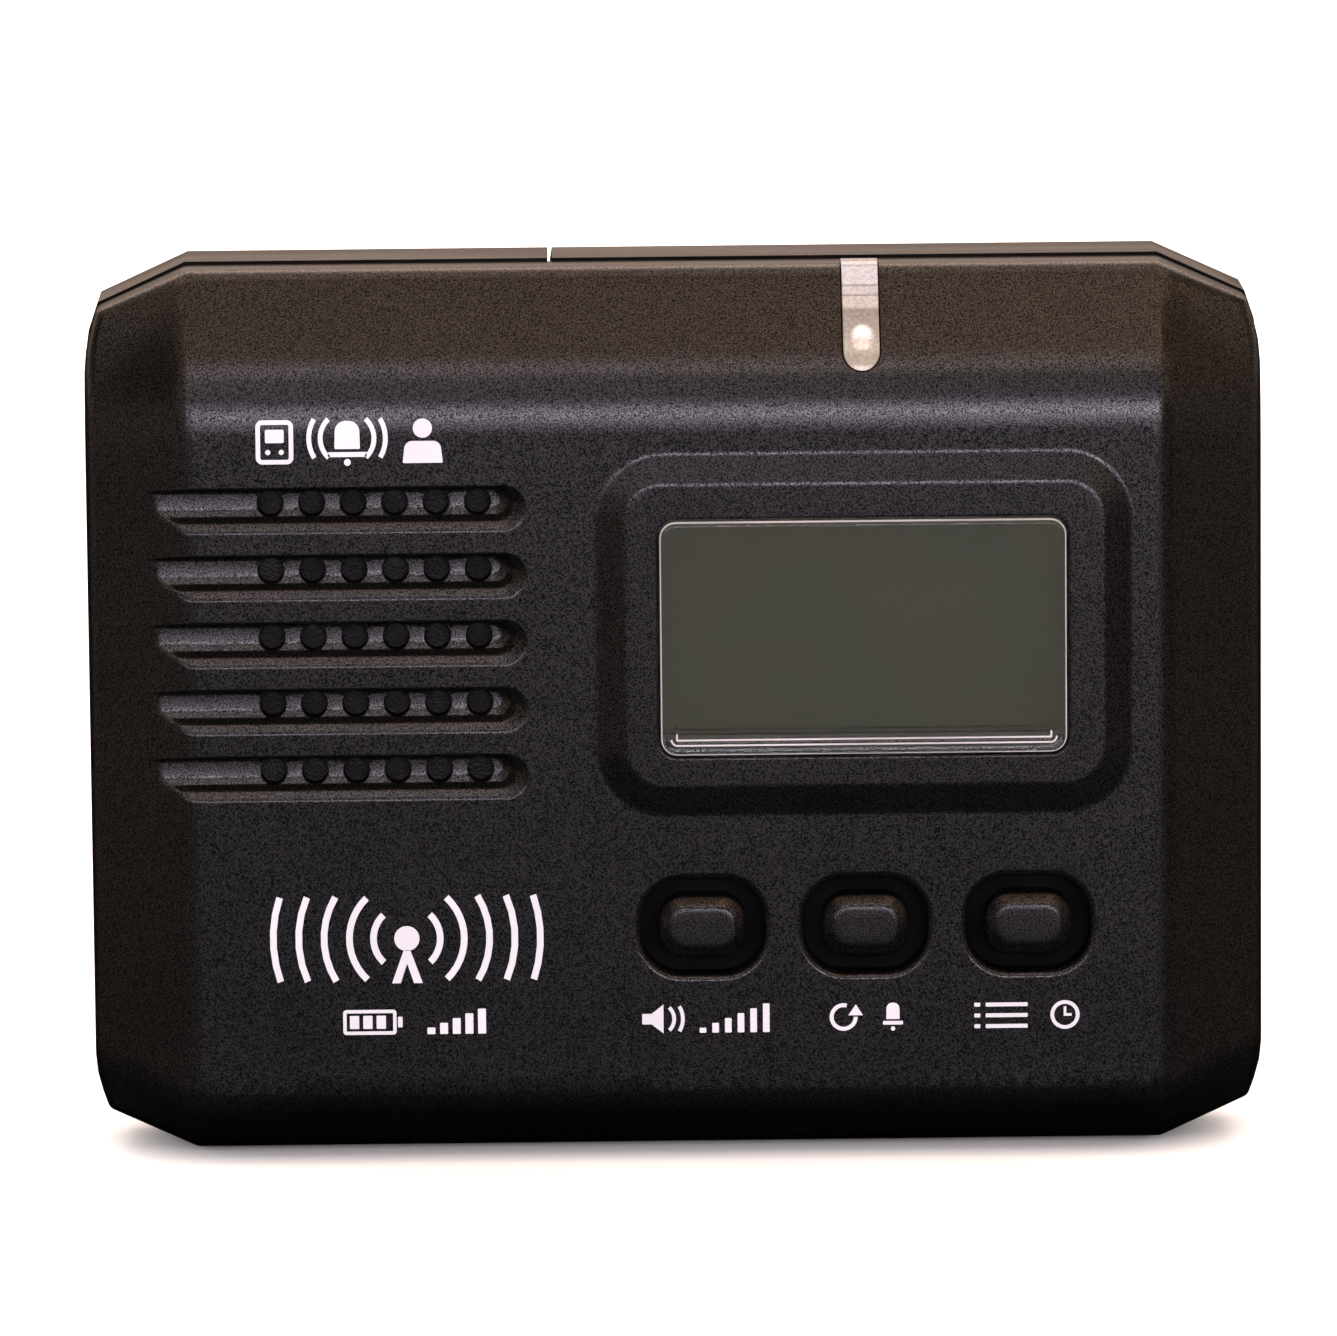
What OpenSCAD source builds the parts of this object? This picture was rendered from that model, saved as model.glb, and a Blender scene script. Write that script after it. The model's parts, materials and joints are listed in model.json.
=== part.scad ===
// Belt-clip pager: a two-part case with a display, three push buttons, a speaker
// grille, two AAA cells under a sliding door, a vibration motor and a sprung clip.
// It stands on its bottom wall. The front faces -Y, +X is to the right, +Z is up.
// The origin is the centre of the bottom wall, on the plane where the shells meet.

/* [Case] */
// Width of the case
case_w = 88; // [86:0.5:90]
// Height of the case
case_h = 67; // [66:0.5:68]
// Depth from the parting plane to the front panel
front_d = 10.5; // [10.4:0.1:11]
// Depth from the parting plane to the rear face
rear_d = 14; // [14:0.1:14.4]
// Wall thickness of the rear shell
rear_wall = 2.2; // [2:0.1:2.4]
// Thickness of the front panel
front_wall = 2.4; // [2.2:0.1:2.4]
// Half width of the flat front panel, where the side facets start
ridge_x = 36.5; // [36:0.1:37]
// Depth of the case at its left and right ends
end_d = 5.8; // [5.4:0.1:6.2]
// Angle between the top bevel and the front panel
bevel_angle = 37; // [35:1:39]
// Radius of the bend between the top bevel and the panel
bend_r = 10; // [8:0.5:11]
// Height at which the bend starts
bend_z = 55; // [54.6:0.1:55.4]

/* [Display] */
// Centre of the display, across
lcd_x = 13.95; // [13.5:0.05:14.4]
// Centre of the display, up
lcd_z = 39.65; // [39.3:0.05:40]
// Width of the window
window_w = 30.6; // [30:0.1:31]
// Height of the window
window_h = 17.9; // [17:0.1:18.2]
// How far the display frame stands out of the panel
plateau_h = 0.8; // [0.6:0.1:1]

/* [Speaker] */
// Centre of the speaker, across
speaker_x = -22.4; // [-22.6:0.05:-22.2]
// Centre of the speaker, up
speaker_z = 39.8; // [39.5:0.05:40.1]
// Outer radius of the speaker
speaker_r = 13; // [12:0.25:13]
// Radius of a grille hole
hole_r = 0.95; // [0.7:0.05:1.1]
// Spacing of the grille holes
hole_pitch = 3.09; // [2.9:0.01:3.1]
// Spacing of the grille grooves
groove_pitch = 5.05; // [4.8:0.01:5.1]

/* [Buttons] */
// Centre of the middle button, across
button_x = 14; // [13.8:0.1:14.2]
// Height of the button row
button_z = 17.7; // [17.5:0.1:18]
// Spacing of the buttons
button_pitch = 12.2; // [12:0.1:12.4]
// Travel of a button
button_travel = 0.6; // [0.4:0.1:0.6]

/* [Belt clip] */
// Width of the clip
clip_w = 20.4; // [16:0.2:22]
// Height of the clip's hinge pin
clip_z = 57; // [56.5:0.1:57.2]
// Gap for the belt
belt_gap = 5; // [4.6:0.1:5.4]
// Radius of the hinge pin
pin_r = 1; // [0.9:0.05:1.1]

/* [Batteries] */
// Length of a cell with its contact
cell_len = 44.5; // [43.5:0.1:44.5]
// Radius of a cell
cell_r = 5.2; // [5:0.05:5.25]

/* [Hidden] */
$fn = 48;
eps = 0.05;
out = 20;              // length of a cut that runs clear of the case

// case outline, seen from the front
corner_x = 43.1;
corner_z = 3;
round_x = 0.2;
round_z = 2.1;
side_z = 3.5;
// case sections
side_d = 4;
rear_side_d = 7;
bottom_bevel_z = 6.5;
tongue_t = 1;
tongue_h = 1.2;
tongue_gap = 0.1;
slit_x = -9.1;
slit_w = 0.3;
slit_deep = 1.4;
slit_lean = 8;
inner_y = -(front_d - front_wall) + eps;
rear_inner_y = rear_d - 2;

// display stack, from the front to the board
plateau_w = 39.9;
plateau_hgt = 27.1;
plateau_z_shift = 0.2;
plateau_slope = 2.1;
plateau_r = 5;
lens_y = -(front_d + plateau_h + 0.2);
lens_step_y = -9.6;
lens_back_y = -8.15;
lens_flange = 1.3;
glass_w = 34;
glass_front_h = 23.4;
glass_rear_h = 20.4;
glass_t = 1.1;
glass_y = inner_y + eps;
glass_top_z = lcd_z + 10.65;
reflector_t = 0.3;
holder_wall = 1.2;

// main board
board_y0 = -2;
board_y1 = -0.4;
board_x = 38.5;
board_z0 = 5;
board_z1 = 62;
mcu_c = [-4, 42];
mcu_half = 5;
mcu_legs = 7;
mcu_pitch = 1.27;

// screws
boss_x = 34;
boss_z = [10, 57];
case_posts = [for (x = [-boss_x, boss_x]) for (z = boss_z) [x, z]];
front_boss_r = 3;
rear_boss_r = 3.6;
pilot_r = 1.1;
shank_r = 1.08;
clear_r = 1.3;
head_r = 2;
head_bore_r = 2.4;
head_seat_y = 4;
head_h = 1.6;
board_posts = [[-5.5, 56.5], [-31, 22], [35.3, 22]];
board_boss_r = 2.2;
board_pilot_r = 0.85;
board_shank_r = 0.83;
board_clear_r = 1;
board_head_r = 1.7;

// grille
groove_h = 3.37;
groove_depth = 1.4;
groove_right = -11.07;
groove_left = -50;
groove_z0 = 49.49;
groove_count = 5;
hole_count = 6;
hole_x0 = -30.13;
hole_z0 = 49.89;

// buttons
button_centres = [for (i = [-1:1]) button_x + i * button_pitch];
pocket_w = 9.25;
pocket_h = 7.27;
pocket_r = 3;
cap_w = 6.5;
cap_h = 4.65;
cap_face_w = 5.24;
cap_face_h = 3.5;
cap_r = 1.4;
cap_y = -(front_d + 0.4);
cap_bevel = 0.6;
flange_w = 10.6;
flange_h = 8.4;
flange_t = 0.8;
flange_y = inner_y + 0.1;
stem_r = 1.6;
switch_size = 6;
switch_y = -5.4;
plunger_r = 1.7;
plunger_y0 = -6.1;
plunger_y1 = -4.8;
plunger_bore_r = 1.8;

// light pipe and lamp
pipe_x = 14.02;
pipe_w = 2.75;
pipe_end_z = 59.4;
pipe_proud = 0.5;
pipe_deep = 3.2;
pipe_gap = 0.1;
pipe_foot_w = 4.6;
pipe_foot_top = 64.2;
lamp_r = 1.45;
lamp_len = 2.9;
lamp_depth = 3.5;
lamp_surface_z = 61.3;

// receiver board
rf_x = [-29, -11];
rf_y = 1.5;
rf_t = 0.8;
rf_z = [38, 53.5];
rf_pins = 6;
rf_pitch = 2.54;

// vibration motor, lying along X behind the board
motor_y = 5.6;
motor_z = 47;
motor_x0 = 8;
motor_x1 = 20;
motor_r = 3;
sleeve_r = 4;
shaft_r = 0.5;
cradle_x = [9.5, 18.5];
cradle_half = 6;
sleeve_x = [9, 19];
weight_x0 = 21;
weight_x1 = 25;
weight_r = 2.6;

// battery bay
bay_x = 25.5;
bay_wall = 2.2;
bay_floor = 1.3;
bay_y0 = 1.6;
bay_z0 = 8.9;
bay_z1 = 33.1;
cell_y = 7;
cell_z = [15, 27];
cell_tip_x = 25;
nub_len = 1;
nub_r = 1.9;
contact_t = 0.4;

// battery door
door_y = 12.4;
door_x = 26;
door_top = 35.2;
rail = 1.4;
rail_t = 0.9;
door_gap = 0.12;
grip_count = 6;

// belt clip
clip_y = rear_d + 4;
clip_t = 2;
clip_in_y = rear_d + belt_gap;
clip_out_y = clip_in_y + clip_t;
clip_half = clip_w / 2;
clip_top_z = 64.2;
clip_toe_z = 17;
clip_knee_z = 27;
clip_neck_z = 53;
clip_toe_gap = 1.2;
knuckle_r = 2.8;
knuckle_gap = 4.8;
lug_gap = 0.15;
lug_t = 2.7;
lug_r = 2.6;
pin_gap = 0.06;
clip_coil_r = 1.45;
clip_wire_r = 0.35;

function arc(c, r, a0, a1, n) = [
    for (i = [0:n]) let (a = a0 + (a1 - a0) * i / n) c + r * [cos(a), sin(a)]
];
// right half of the outline, bottom to top, then its mirror image
half_w = case_w / 2;
outline_low = [
    [ridge_x, 0],
    [corner_x, corner_z],
    [half_w - round_x, corner_z + round_z],
    [half_w, corner_z + side_z]
];
outline_right = concat(
    outline_low,
    [for (i = [len(outline_low) - 1:-1:0]) [outline_low[i][0], case_h - outline_low[i][1]]]
);
outline = concat(
    outline_right,
    [for (i = [len(outline_right) - 1:-1:0]) [-outline_right[i][0], outline_right[i][1]]]
);
// section through the middle of the front shell, as [y, z]
bend_c = [-(front_d - bend_r), bend_z];
bend_pts = arc(bend_c, bend_r, 180, 180 - bevel_angle, 6);
bevel_low = bend_pts[len(bend_pts) - 1];
bevel_top_y = bevel_low[0] + (case_h - bevel_low[1]) * tan(bevel_angle);
front_profile = concat(
    [[0, 0], [-side_d, 0], [-front_d, bottom_bevel_z]],
    bend_pts,
    [[bevel_top_y, case_h], [0, case_h]]
);

function rounded(w, h, r, n) = concat(
    arc([w / 2 - r, h / 2 - r], r, 0, 90, n),
    arc([r - w / 2, h / 2 - r], r, 90, 180, n),
    arc([r - w / 2, r - h / 2], r, 180, 270, n),
    arc([w / 2 - r, r - h / 2], r, 270, 360, n)
);

// tubes along a path of points
function unit(v) = v / norm(v);
function path_dir(p, i) = unit(p[min(i + 1, len(p) - 1)] - p[max(i - 1, 0)]);
function tube_ring(p, i, r, n, side) =
    let (t = path_dir(p, i), u = unit(cross(side, t)), v = cross(t, u))
    [for (k = [0:n - 1]) p[i] + r * (u * cos(360 * k / n) + v * sin(360 * k / n))];

module tube(p, r, n = 8, side = [1, 0, 0]) {
    rings = len(p);
    polyhedron(
        points = [for (i = [0:rings - 1]) each tube_ring(p, i, r, n, side)],
        faces = concat(
            [[for (k = [0:n - 1]) k]],
            [for (i = [0:rings - 2]) for (k = [0:n - 1])
                [i * n + k, (i + 1) * n + k, (i + 1) * n + (k + 1) % n]],
            [for (i = [0:rings - 2]) for (k = [0:n - 1])
                [i * n + k, (i + 1) * n + (k + 1) % n, i * n + (k + 1) % n]],
            [[for (k = [n - 1:-1:0]) (rings - 1) * n + k]]
        )
    );
}

// a coil around a line along X, as path points, from the side nearest the front
function coil(x0, x1, y, z, r, turns, steps) = [
    for (i = [0:turns * steps]) let (t = i / (turns * steps), a = 180 - 360 * turns * t)
        [x0 + (x1 - x0) * t, y + r * cos(a), z + r * sin(a)]
];

// a flat outline given in X and Z, as a slab between two depths
module slab(y0, y1) {
    translate([0, y1, 0]) rotate([90, 0, 0]) linear_extrude(y1 - y0) children();
}

// a section given in Y and Z, as a bar between two stations along X
module bar(x0, x1) {
    translate([x0, 0, 0]) rotate([90, 0, 90]) linear_extrude(x1 - x0) children();
}

module box(x, y, z) {
    translate([x[0], y[0], z[0]]) cube([x[1] - x[0], y[1] - y[0], z[1] - z[0]]);
}

module rod_y(x, z, y0, y1, r) {
    translate([x, y1, z]) rotate([90, 0, 0]) cylinder(r = r, h = y1 - y0);
}

module rod_x(x0, x1, y, z, r) {
    translate([x0, y, z]) rotate([0, 90, 0]) cylinder(r = r, h = x1 - x0);
}

module panel(x, z, w, h, r, n = 6) {
    translate([x, z]) polygon(rounded(w, h, r, n));
}

// the outer form of the front half, drawn in by inset all round
module front_form(inset) {
    end_x = half_w - inset;
    end_y = -(end_d - inset * 0.9);
    end_z = [bottom_bevel_z + inset * 0.4, case_h - bottom_bevel_z - inset * 0.4];
    ridge = ridge_x - inset * 0.3;
    hull() {
        slab(-side_d + inset * 0.4, 0) offset(delta = -inset) polygon(outline);
        bar(-ridge, ridge) intersection() {
            offset(delta = -inset) polygon(front_profile);
            translate([-out, 0]) square([out, case_h]);
        }
        box([-end_x, -end_x + 0.2], [end_y, 0], end_z);
        box([end_x - 0.2, end_x], [end_y, 0], end_z);
    }
}

// the outer form of the rear half: a straight wall, then a bevel to the rear face
module rear_form(inset, back_y) {
    lean = inset * (sqrt(2) - 1);
    hull() {
        slab(0, rear_side_d - lean) offset(delta = -inset) polygon(outline);
        slab(back_y - 0.1, back_y)
            offset(delta = -(back_y - rear_side_d + inset * sqrt(2))) polygon(outline);
    }
}

module pipe_shape(w, low_z) {
    translate([pipe_x, low_z + w / 2]) circle(r = w / 2, $fn = 32);
    translate([pipe_x - w / 2, low_z + w / 2]) square([w, out]);
}

module front_shell() {
    color([0.16, 0.15, 0.16]) difference() {
        union() {
            difference() {
                union() {
                    front_form(0);
                    hull() {
                        slab(-front_d - eps, -front_d + eps)
                            panel(lcd_x, lcd_z + plateau_z_shift, plateau_w, plateau_hgt, plateau_r);
                        slab(-front_d - plateau_h, -front_d)
                            panel(lcd_x, lcd_z + plateau_z_shift, plateau_w - 2 * plateau_slope,
                                plateau_hgt - 2 * plateau_slope, plateau_r - 1);
                    }
                }
                translate([0, eps, 0]) front_form(front_wall);
            }
            for (p = case_posts) rod_y(p[0], p[1], inner_y - 1, 0, front_boss_r);
            for (p = board_posts) rod_y(p[0], p[1], inner_y - 1, board_y0, board_boss_r);
            difference() {
                rod_y(speaker_x, speaker_z, inner_y - 0.5, inner_y + 1.2, speaker_r + 0.9);
                rod_y(speaker_x, speaker_z, inner_y, 0, speaker_r + 0.1);
            }
        }
        // rebate for the rear shell's tongue
        slab(-tongue_h - tongue_gap, 1) offset(delta = -(rear_wall - tongue_t)) polygon(outline);
        for (p = case_posts) rod_y(p[0], p[1], -7, 1, pilot_r);
        for (p = board_posts) rod_y(p[0], p[1], -7, 1, board_pilot_r);
        slab(-out, 0) panel(lcd_x, lcd_z, window_w, window_h, 1.4);
        slab(lens_step_y, 0) panel(lcd_x, lcd_z, window_w + 3, window_h + 3, 2);
        for (x = button_centres) slab(-out, 0) panel(x, button_z, pocket_w, pocket_h, pocket_r);
        for (j = [0:groove_count - 1]) {
            slab(-out, -front_d + groove_depth)
                panel((groove_left + groove_right) / 2, groove_z0 - j * groove_pitch,
                    groove_right - groove_left, groove_h, 1.5, 4);
            for (i = [0:hole_count - 1])
                rod_y(hole_x0 + i * hole_pitch, hole_z0 - j * groove_pitch, -out, -1, hole_r);
        }
        slab(-out, 1) pipe_shape(pipe_w + 2 * pipe_gap, pipe_end_z - pipe_gap);
    }
}

module rear_shell() {
    wall_x = bay_x + bay_wall;
    lug_x = clip_half + lug_gap;
    color([0.16, 0.15, 0.16]) difference() {
        union() {
            difference() {
                rear_form(0, rear_d);
                translate([0, -eps, 0]) rear_form(rear_wall, rear_inner_y + eps);
            }
            // tongue that fits inside the front shell's rim
            difference() {
                slab(-tongue_h, 1)
                    offset(delta = -(rear_wall - tongue_t + tongue_gap)) polygon(outline);
                slab(-out, out) offset(delta = -(rear_wall - tongue_gap)) polygon(outline);
                box([pipe_x - 2.6, pipe_x + 2.6], [-out, 0], [case_h - 5, case_h]);
            }
            box([-wall_x, wall_x], [bay_y0 - bay_floor, rear_inner_y + 1],
                [bay_z0 - bay_wall, bay_z1 + bay_wall]);
            for (p = case_posts) rod_y(p[0], p[1], eps, rear_inner_y + 0.2, rear_boss_r);
            // cradle of the vibration motor
            difference() {
                box(cradle_x, [motor_y + 0.6, rear_inner_y + 0.5],
                    [motor_z - cradle_half, motor_z + cradle_half]);
                rod_x(0, 30, motor_y, motor_z, sleeve_r + eps);
            }
            // lugs of the clip's hinge
            for (side = [-1, 1]) {
                x0 = side > 0 ? lug_x : -lug_x - lug_t;
                box([x0, x0 + lug_t], [rear_d - 1, clip_y], [clip_z - lug_r + 0.2, clip_z + lug_r - 0.2]);
                rod_x(x0, x0 + lug_t, clip_y, clip_z, lug_r);
            }
        }
        box([-bay_x, bay_x], [bay_y0, out], [bay_z0, bay_z1]);
        for (p = case_posts) {
            rod_y(p[0], p[1], -1, head_seat_y + 1, clear_r);
            rod_y(p[0], p[1], head_seat_y, out, head_bore_r);
        }
        box([-door_x, door_x], [door_y, out], [-1, door_top]);
        box([-door_x - rail, door_x + rail], [door_y, door_y + rail_t], [-1, door_top]);
        rod_x(-30, 30, clip_y, clip_z, pin_r);
        // slit through the top edge
        translate([slit_x, 0, case_h]) rotate([0, slit_lean, 0])
            box([-slit_w / 2, slit_w / 2], [-1, rear_side_d + 2.2], [-slit_deep, 1]);
    }
}

module battery_door() {
    inner_x = door_x - door_gap;
    rail_x = inner_x + rail - door_gap;
    y0 = door_y + door_gap / 2;
    top = door_top - door_gap;
    color([0.16, 0.15, 0.16]) difference() {
        intersection() {
            rear_form(0, rear_d);
            union() {
                box([-inner_x, inner_x], [y0, out], [-1, top]);
                box([-rail_x, rail_x], [y0, door_y + rail_t - door_gap], [-1, top]);
            }
        }
        for (i = [0:grip_count - 1])
            box([-8, 8], [rear_d - 0.5, out], [11 + 2 * i, 12 + 2 * i]);
    }
}

module display_lens() {
    gap = 0.15;
    color([0.85, 0.9, 0.9, 0.4]) union() {
        slab(lens_y, lens_back_y) panel(lcd_x, lcd_z, window_w - 2 * gap, window_h - 2 * gap, 1.3);
        slab(lens_step_y + eps, lens_back_y)
            panel(lcd_x, lcd_z, window_w + 2 * lens_flange, window_h + 2 * lens_flange, 1.8);
    }
}

module lcd_front_glass() {
    z1 = glass_top_z;
    color([0.35, 0.37, 0.31]) box([lcd_x - glass_w / 2, lcd_x + glass_w / 2],
        [glass_y, glass_y + glass_t], [z1 - glass_front_h, z1]);
}

module lcd_rear_glass() {
    z1 = glass_top_z;
    color([0.38, 0.4, 0.33]) box([lcd_x - glass_w / 2, lcd_x + glass_w / 2],
        [glass_y + glass_t, glass_y + 2 * glass_t], [z1 - glass_rear_h, z1]);
}

module lcd_reflector() {
    y0 = glass_y + 2 * glass_t;
    z1 = glass_top_z;
    color([0.75, 0.76, 0.75]) box([lcd_x - glass_w / 2, lcd_x + glass_w / 2],
        [y0, y0 + reflector_t], [z1 - glass_rear_h, z1]);
}

module lcd_holder() {
    z = glass_top_z - glass_front_h / 2;
    w = glass_w + 0.2;
    h = glass_front_h + 0.2;
    ledge_y = glass_y + 2 * glass_t + reflector_t;
    color([0.85, 0.85, 0.82]) difference() {
        slab(glass_y + 0.1, board_y0)
            panel(lcd_x, z, w + 2 * holder_wall, h + 2 * holder_wall, 1.2);
        slab(-out, ledge_y) translate([lcd_x - w / 2, z - h / 2]) square([w, h]);
        slab(-out, 0) translate([lcd_x - w / 2 + 1.5, z - h / 2]) square([w - 3, h - 1.5]);
    }
}

module zebra_strip() {
    z0 = glass_top_z - glass_front_h;
    color([0.6, 0.35, 0.45]) box([lcd_x - 14.5, lcd_x + 14.5],
        [glass_y + glass_t, board_y0], [z0 + 0.3, z0 + 2.5]);
}

module main_board() {
    color([0.1, 0.35, 0.2]) difference() {
        slab(board_y0, board_y1) panel(0, (board_z0 + board_z1) / 2, 2 * board_x,
            board_z1 - board_z0, 2);
        for (p = case_posts) rod_y(p[0], p[1], -out, out, front_boss_r + 0.3);
        for (p = board_posts) rod_y(p[0], p[1], -out, out, board_clear_r);
    }
}

module microcontroller() {
    c = mcu_c;
    half = mcu_half;
    legs = mcu_legs;
    color([0.12, 0.12, 0.13]) union() {
        box([c[0] - half, c[0] + half], [board_y1 + 0.1, board_y1 + 1.5], [c[1] - half, c[1] + half]);
        for (i = [0:legs - 1]) {
            t = (i - (legs - 1) / 2) * mcu_pitch;
            box([c[0] - half - 1, c[0] + half + 1], [board_y1, board_y1 + 0.3],
                [c[1] + t - 0.2, c[1] + t + 0.2]);
            box([c[0] + t - 0.2, c[0] + t + 0.2], [board_y1, board_y1 + 0.3],
                [c[1] - half - 1, c[1] + half + 1]);
        }
    }
}

module smd_parts() {
    color([0.55, 0.45, 0.32]) union() {
        for (i = [0:5]) box([3.5 + 2.2 * i, 4.7 + 2.2 * i], [board_y1, board_y1 + 0.6], [37.5, 39.5]);
        for (i = [0:3]) box([-34 + 2.4 * i, -32.8 + 2.4 * i], [board_y0 - 0.6, board_y0], [15, 17]);
        for (i = [0:3]) box([24, 26], [board_y1, board_y1 + 0.8], [52 + 2 * i, 53 + 2 * i]);
    }
}

module capacitor() {
    color([0.7, 0.72, 0.75]) rod_y(30, 46, board_y1, board_y1 + 5.4, 2.5);
}

module crystal() {
    color([0.75, 0.75, 0.72]) slab(board_y1, board_y1 + 3.4) panel(2, 56, 11, 4.4, 2.1);
}

module rf_board() {
    color([0.1, 0.3, 0.45]) difference() {
        box(rf_x, [rf_y, rf_y + rf_t], rf_z);
        for (i = [0:rf_pins - 1])
            box([-27.1 + rf_pitch * i, -26.3 + rf_pitch * i], [1, 3], [39.5, 40.3]);
    }
}

module rf_header() {
    color([0.1, 0.1, 0.1]) union() {
        box([rf_x[0] + 1, rf_x[1] - 1], [board_y1, rf_y], [38.8, 41]);
        for (i = [0:rf_pins - 1])
            box([-27 + rf_pitch * i, -26.4 + rf_pitch * i], [1.4, 3.2], [39.6, 40.2]);
    }
}

module rf_chip() {
    color([0.12, 0.12, 0.13]) box([-23, -17], [rf_y + rf_t, rf_y + rf_t + 1.3], [44, 49]);
}

module antenna_coil() {
    turn = coil(-28, -11, 6.6, 57.6, 2.2, 9, 12);
    color([0.8, 0.5, 0.3]) tube(concat([[-28.2, 2.8, 52.8], [-28.1, 4.2, 55]], turn), 0.4, 6);
}

module status_led() {
    // a round lamp that looks along the bevel's normal into the light pipe
    y = bevel_low[0] + (lamp_surface_z - bevel_low[1]) * tan(bevel_angle);
    n = [0, -cos(bevel_angle), sin(bevel_angle)];
    base = [pipe_x, y, lamp_surface_z] - n * (lamp_depth + lamp_len);
    color([0.9, 0.4, 0.35]) translate(base) rotate([90 - bevel_angle, 0, 0]) rotate_extrude()
        polygon(concat(
            [[0, 0], [lamp_r, 0]],
            arc([0, lamp_len - lamp_r], lamp_r, 0, 90, 8)
        ));
}

// section of a strip that follows the front shell's skin, from a height over it
// down to the light pipe's full depth
module pipe_skin(height) {
    deep_profile = [for (p = front_profile) p[0] < 0 ? p : [out, p[1]]];
    difference() {
        offset(delta = height) polygon(deep_profile);
        offset(delta = -pipe_deep) polygon(deep_profile);
    }
}

module light_pipe() {
    color([0.9, 0.92, 0.92, 0.5]) union() {
        intersection() {
            bar(pipe_x - out, pipe_x + out) pipe_skin(pipe_proud);
            slab(-out, 0) pipe_shape(pipe_w, pipe_end_z);
        }
        intersection() {
            bar(pipe_x - pipe_foot_w / 2, pipe_x + pipe_foot_w / 2) pipe_skin(-front_wall - eps);
            slab(-out, 0) translate([pipe_x - pipe_foot_w, pipe_end_z - 1])
                square([2 * pipe_foot_w, pipe_foot_top - pipe_end_z + 1]);
        }
    }
}

module at_speaker() {
    translate([speaker_x, 0, speaker_z]) rotate([90, 0, 0]) rotate_extrude(convexity = 4) children();
}

module speaker_gasket() {
    color([0.2, 0.2, 0.2]) at_speaker()
        translate([speaker_r - 1.8, -inner_y - 0.55]) square([1.8, 0.5]);
}

module speaker_frame() {
    r = speaker_r;
    color([0.75, 0.75, 0.72]) at_speaker() polygon([
        [r - 1.6, 7.5], [r, 7.5], [r, 6.7], [r - 1, 6.7], [7.4, 4.4],
        [7.4, 2.6], [6.7, 2.6], [6.7, 4.9], [r - 1.6, 7.1]
    ]);
}

module speaker_cone() {
    color([0.16, 0.16, 0.17]) at_speaker() polygon([
        [speaker_r - 1.7, 7.4], [10.6, 7.4], [9.8, 6.6], [5, 5.2], [0, 5.7],
        [0, 5.5], [5, 5], [9.9, 6.4], [10.7, 7.15], [speaker_r - 1.7, 7.15]
    ]);
}

module speaker_magnet() {
    color([0.6, 0.6, 0.62]) rod_y(speaker_x, speaker_z, -4.4, -2.6, 6.6);
}

module tact_switches() {
    half = switch_size / 2;
    color([0.2, 0.2, 0.21]) for (x = button_centres) difference() {
        box([x - half, x + half], [switch_y, board_y0], [button_z - half, button_z + half]);
        rod_y(x, button_z, switch_y - 1, plunger_y1 + button_travel + 0.2, plunger_bore_r);
    }
}

module plunger(x) {
    color([0.8, 0.8, 0.78]) rod_y(x, button_z, plunger_y0, plunger_y1, plunger_r);
}

module button(x) {
    color([0.18, 0.17, 0.18]) union() {
        hull() {
            slab(cap_y, cap_y + 0.1) panel(x, button_z, cap_face_w, cap_face_h, cap_r - cap_bevel);
            slab(cap_y + cap_bevel, flange_y) panel(x, button_z, cap_w, cap_h, cap_r);
        }
        slab(flange_y, flange_y + flange_t) panel(x, button_z, flange_w, flange_h, pocket_r);
        rod_y(x, button_z, flange_y + eps, plunger_y0 - eps, stem_r);
    }
}

module motor_can() {
    color([0.75, 0.76, 0.78]) difference() {
        rod_x(motor_x0, motor_x1, motor_y, motor_z, motor_r);
        rod_x(motor_x1 - 6, motor_x1 + 1, motor_y, motor_z, shaft_r + pin_gap);
    }
}

module motor_sleeve() {
    color([0.1, 0.1, 0.1]) difference() {
        rod_x(sleeve_x[0], sleeve_x[1], motor_y, motor_z, sleeve_r);
        rod_x(0, 30, motor_y, motor_z, motor_r + eps);
    }
}

module motor_shaft() {
    color([0.8, 0.8, 0.82]) rod_x(motor_x1 - 5.5, weight_x1 + 0.5, motor_y, motor_z, shaft_r);
}

module motor_weight() {
    color([0.6, 0.6, 0.6]) difference() {
        union() {
            intersection() {
                rod_x(weight_x0, weight_x1, motor_y, motor_z, weight_r);
                box([0, 40], [0, 12], [motor_z - 5, motor_z + 0.3]);
            }
            rod_x(weight_x0, weight_x1, motor_y, motor_z, 1.2);
        }
        rod_x(0, 40, motor_y, motor_z, shaft_r);
    }
}

// one AAA cell whose contact points along side
module cell(z, side) {
    body = cell_len - nub_len;
    tip = side * cell_tip_x;
    x0 = side > 0 ? tip - cell_len : tip + nub_len;
    n0 = side > 0 ? tip - nub_len - 0.2 : tip;
    color([0.72, 0.5, 0.25]) union() {
        rod_x(x0, x0 + body, cell_y, z, cell_r);
        rod_x(n0, n0 + nub_len + 0.2, cell_y, z, nub_r);
    }
}

module battery_springs() {
    color([0.8, 0.8, 0.78]) for (i = [0:1]) {
        side = i == 0 ? -1 : 1;
        a = side * (cell_tip_x - 0.4);
        b = side * (cell_len - cell_tip_x + 0.4);
        tube(coil(min(a, b), max(a, b), cell_y, cell_z[i], 3, 4, 14), 0.3, 6);
    }
}

module battery_contacts() {
    x0 = cell_tip_x + eps;
    x1 = x0 + contact_t;
    color([0.8, 0.8, 0.78]) {
        box([x0, x1], [cell_y - 4, cell_y + 4], [cell_z[0] - 4, cell_z[1] + 4]);
        for (z = cell_z) box([-x1, -x0], [cell_y - 4, cell_y + 4], [z - 4, z + 4]);
    }
}

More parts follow.
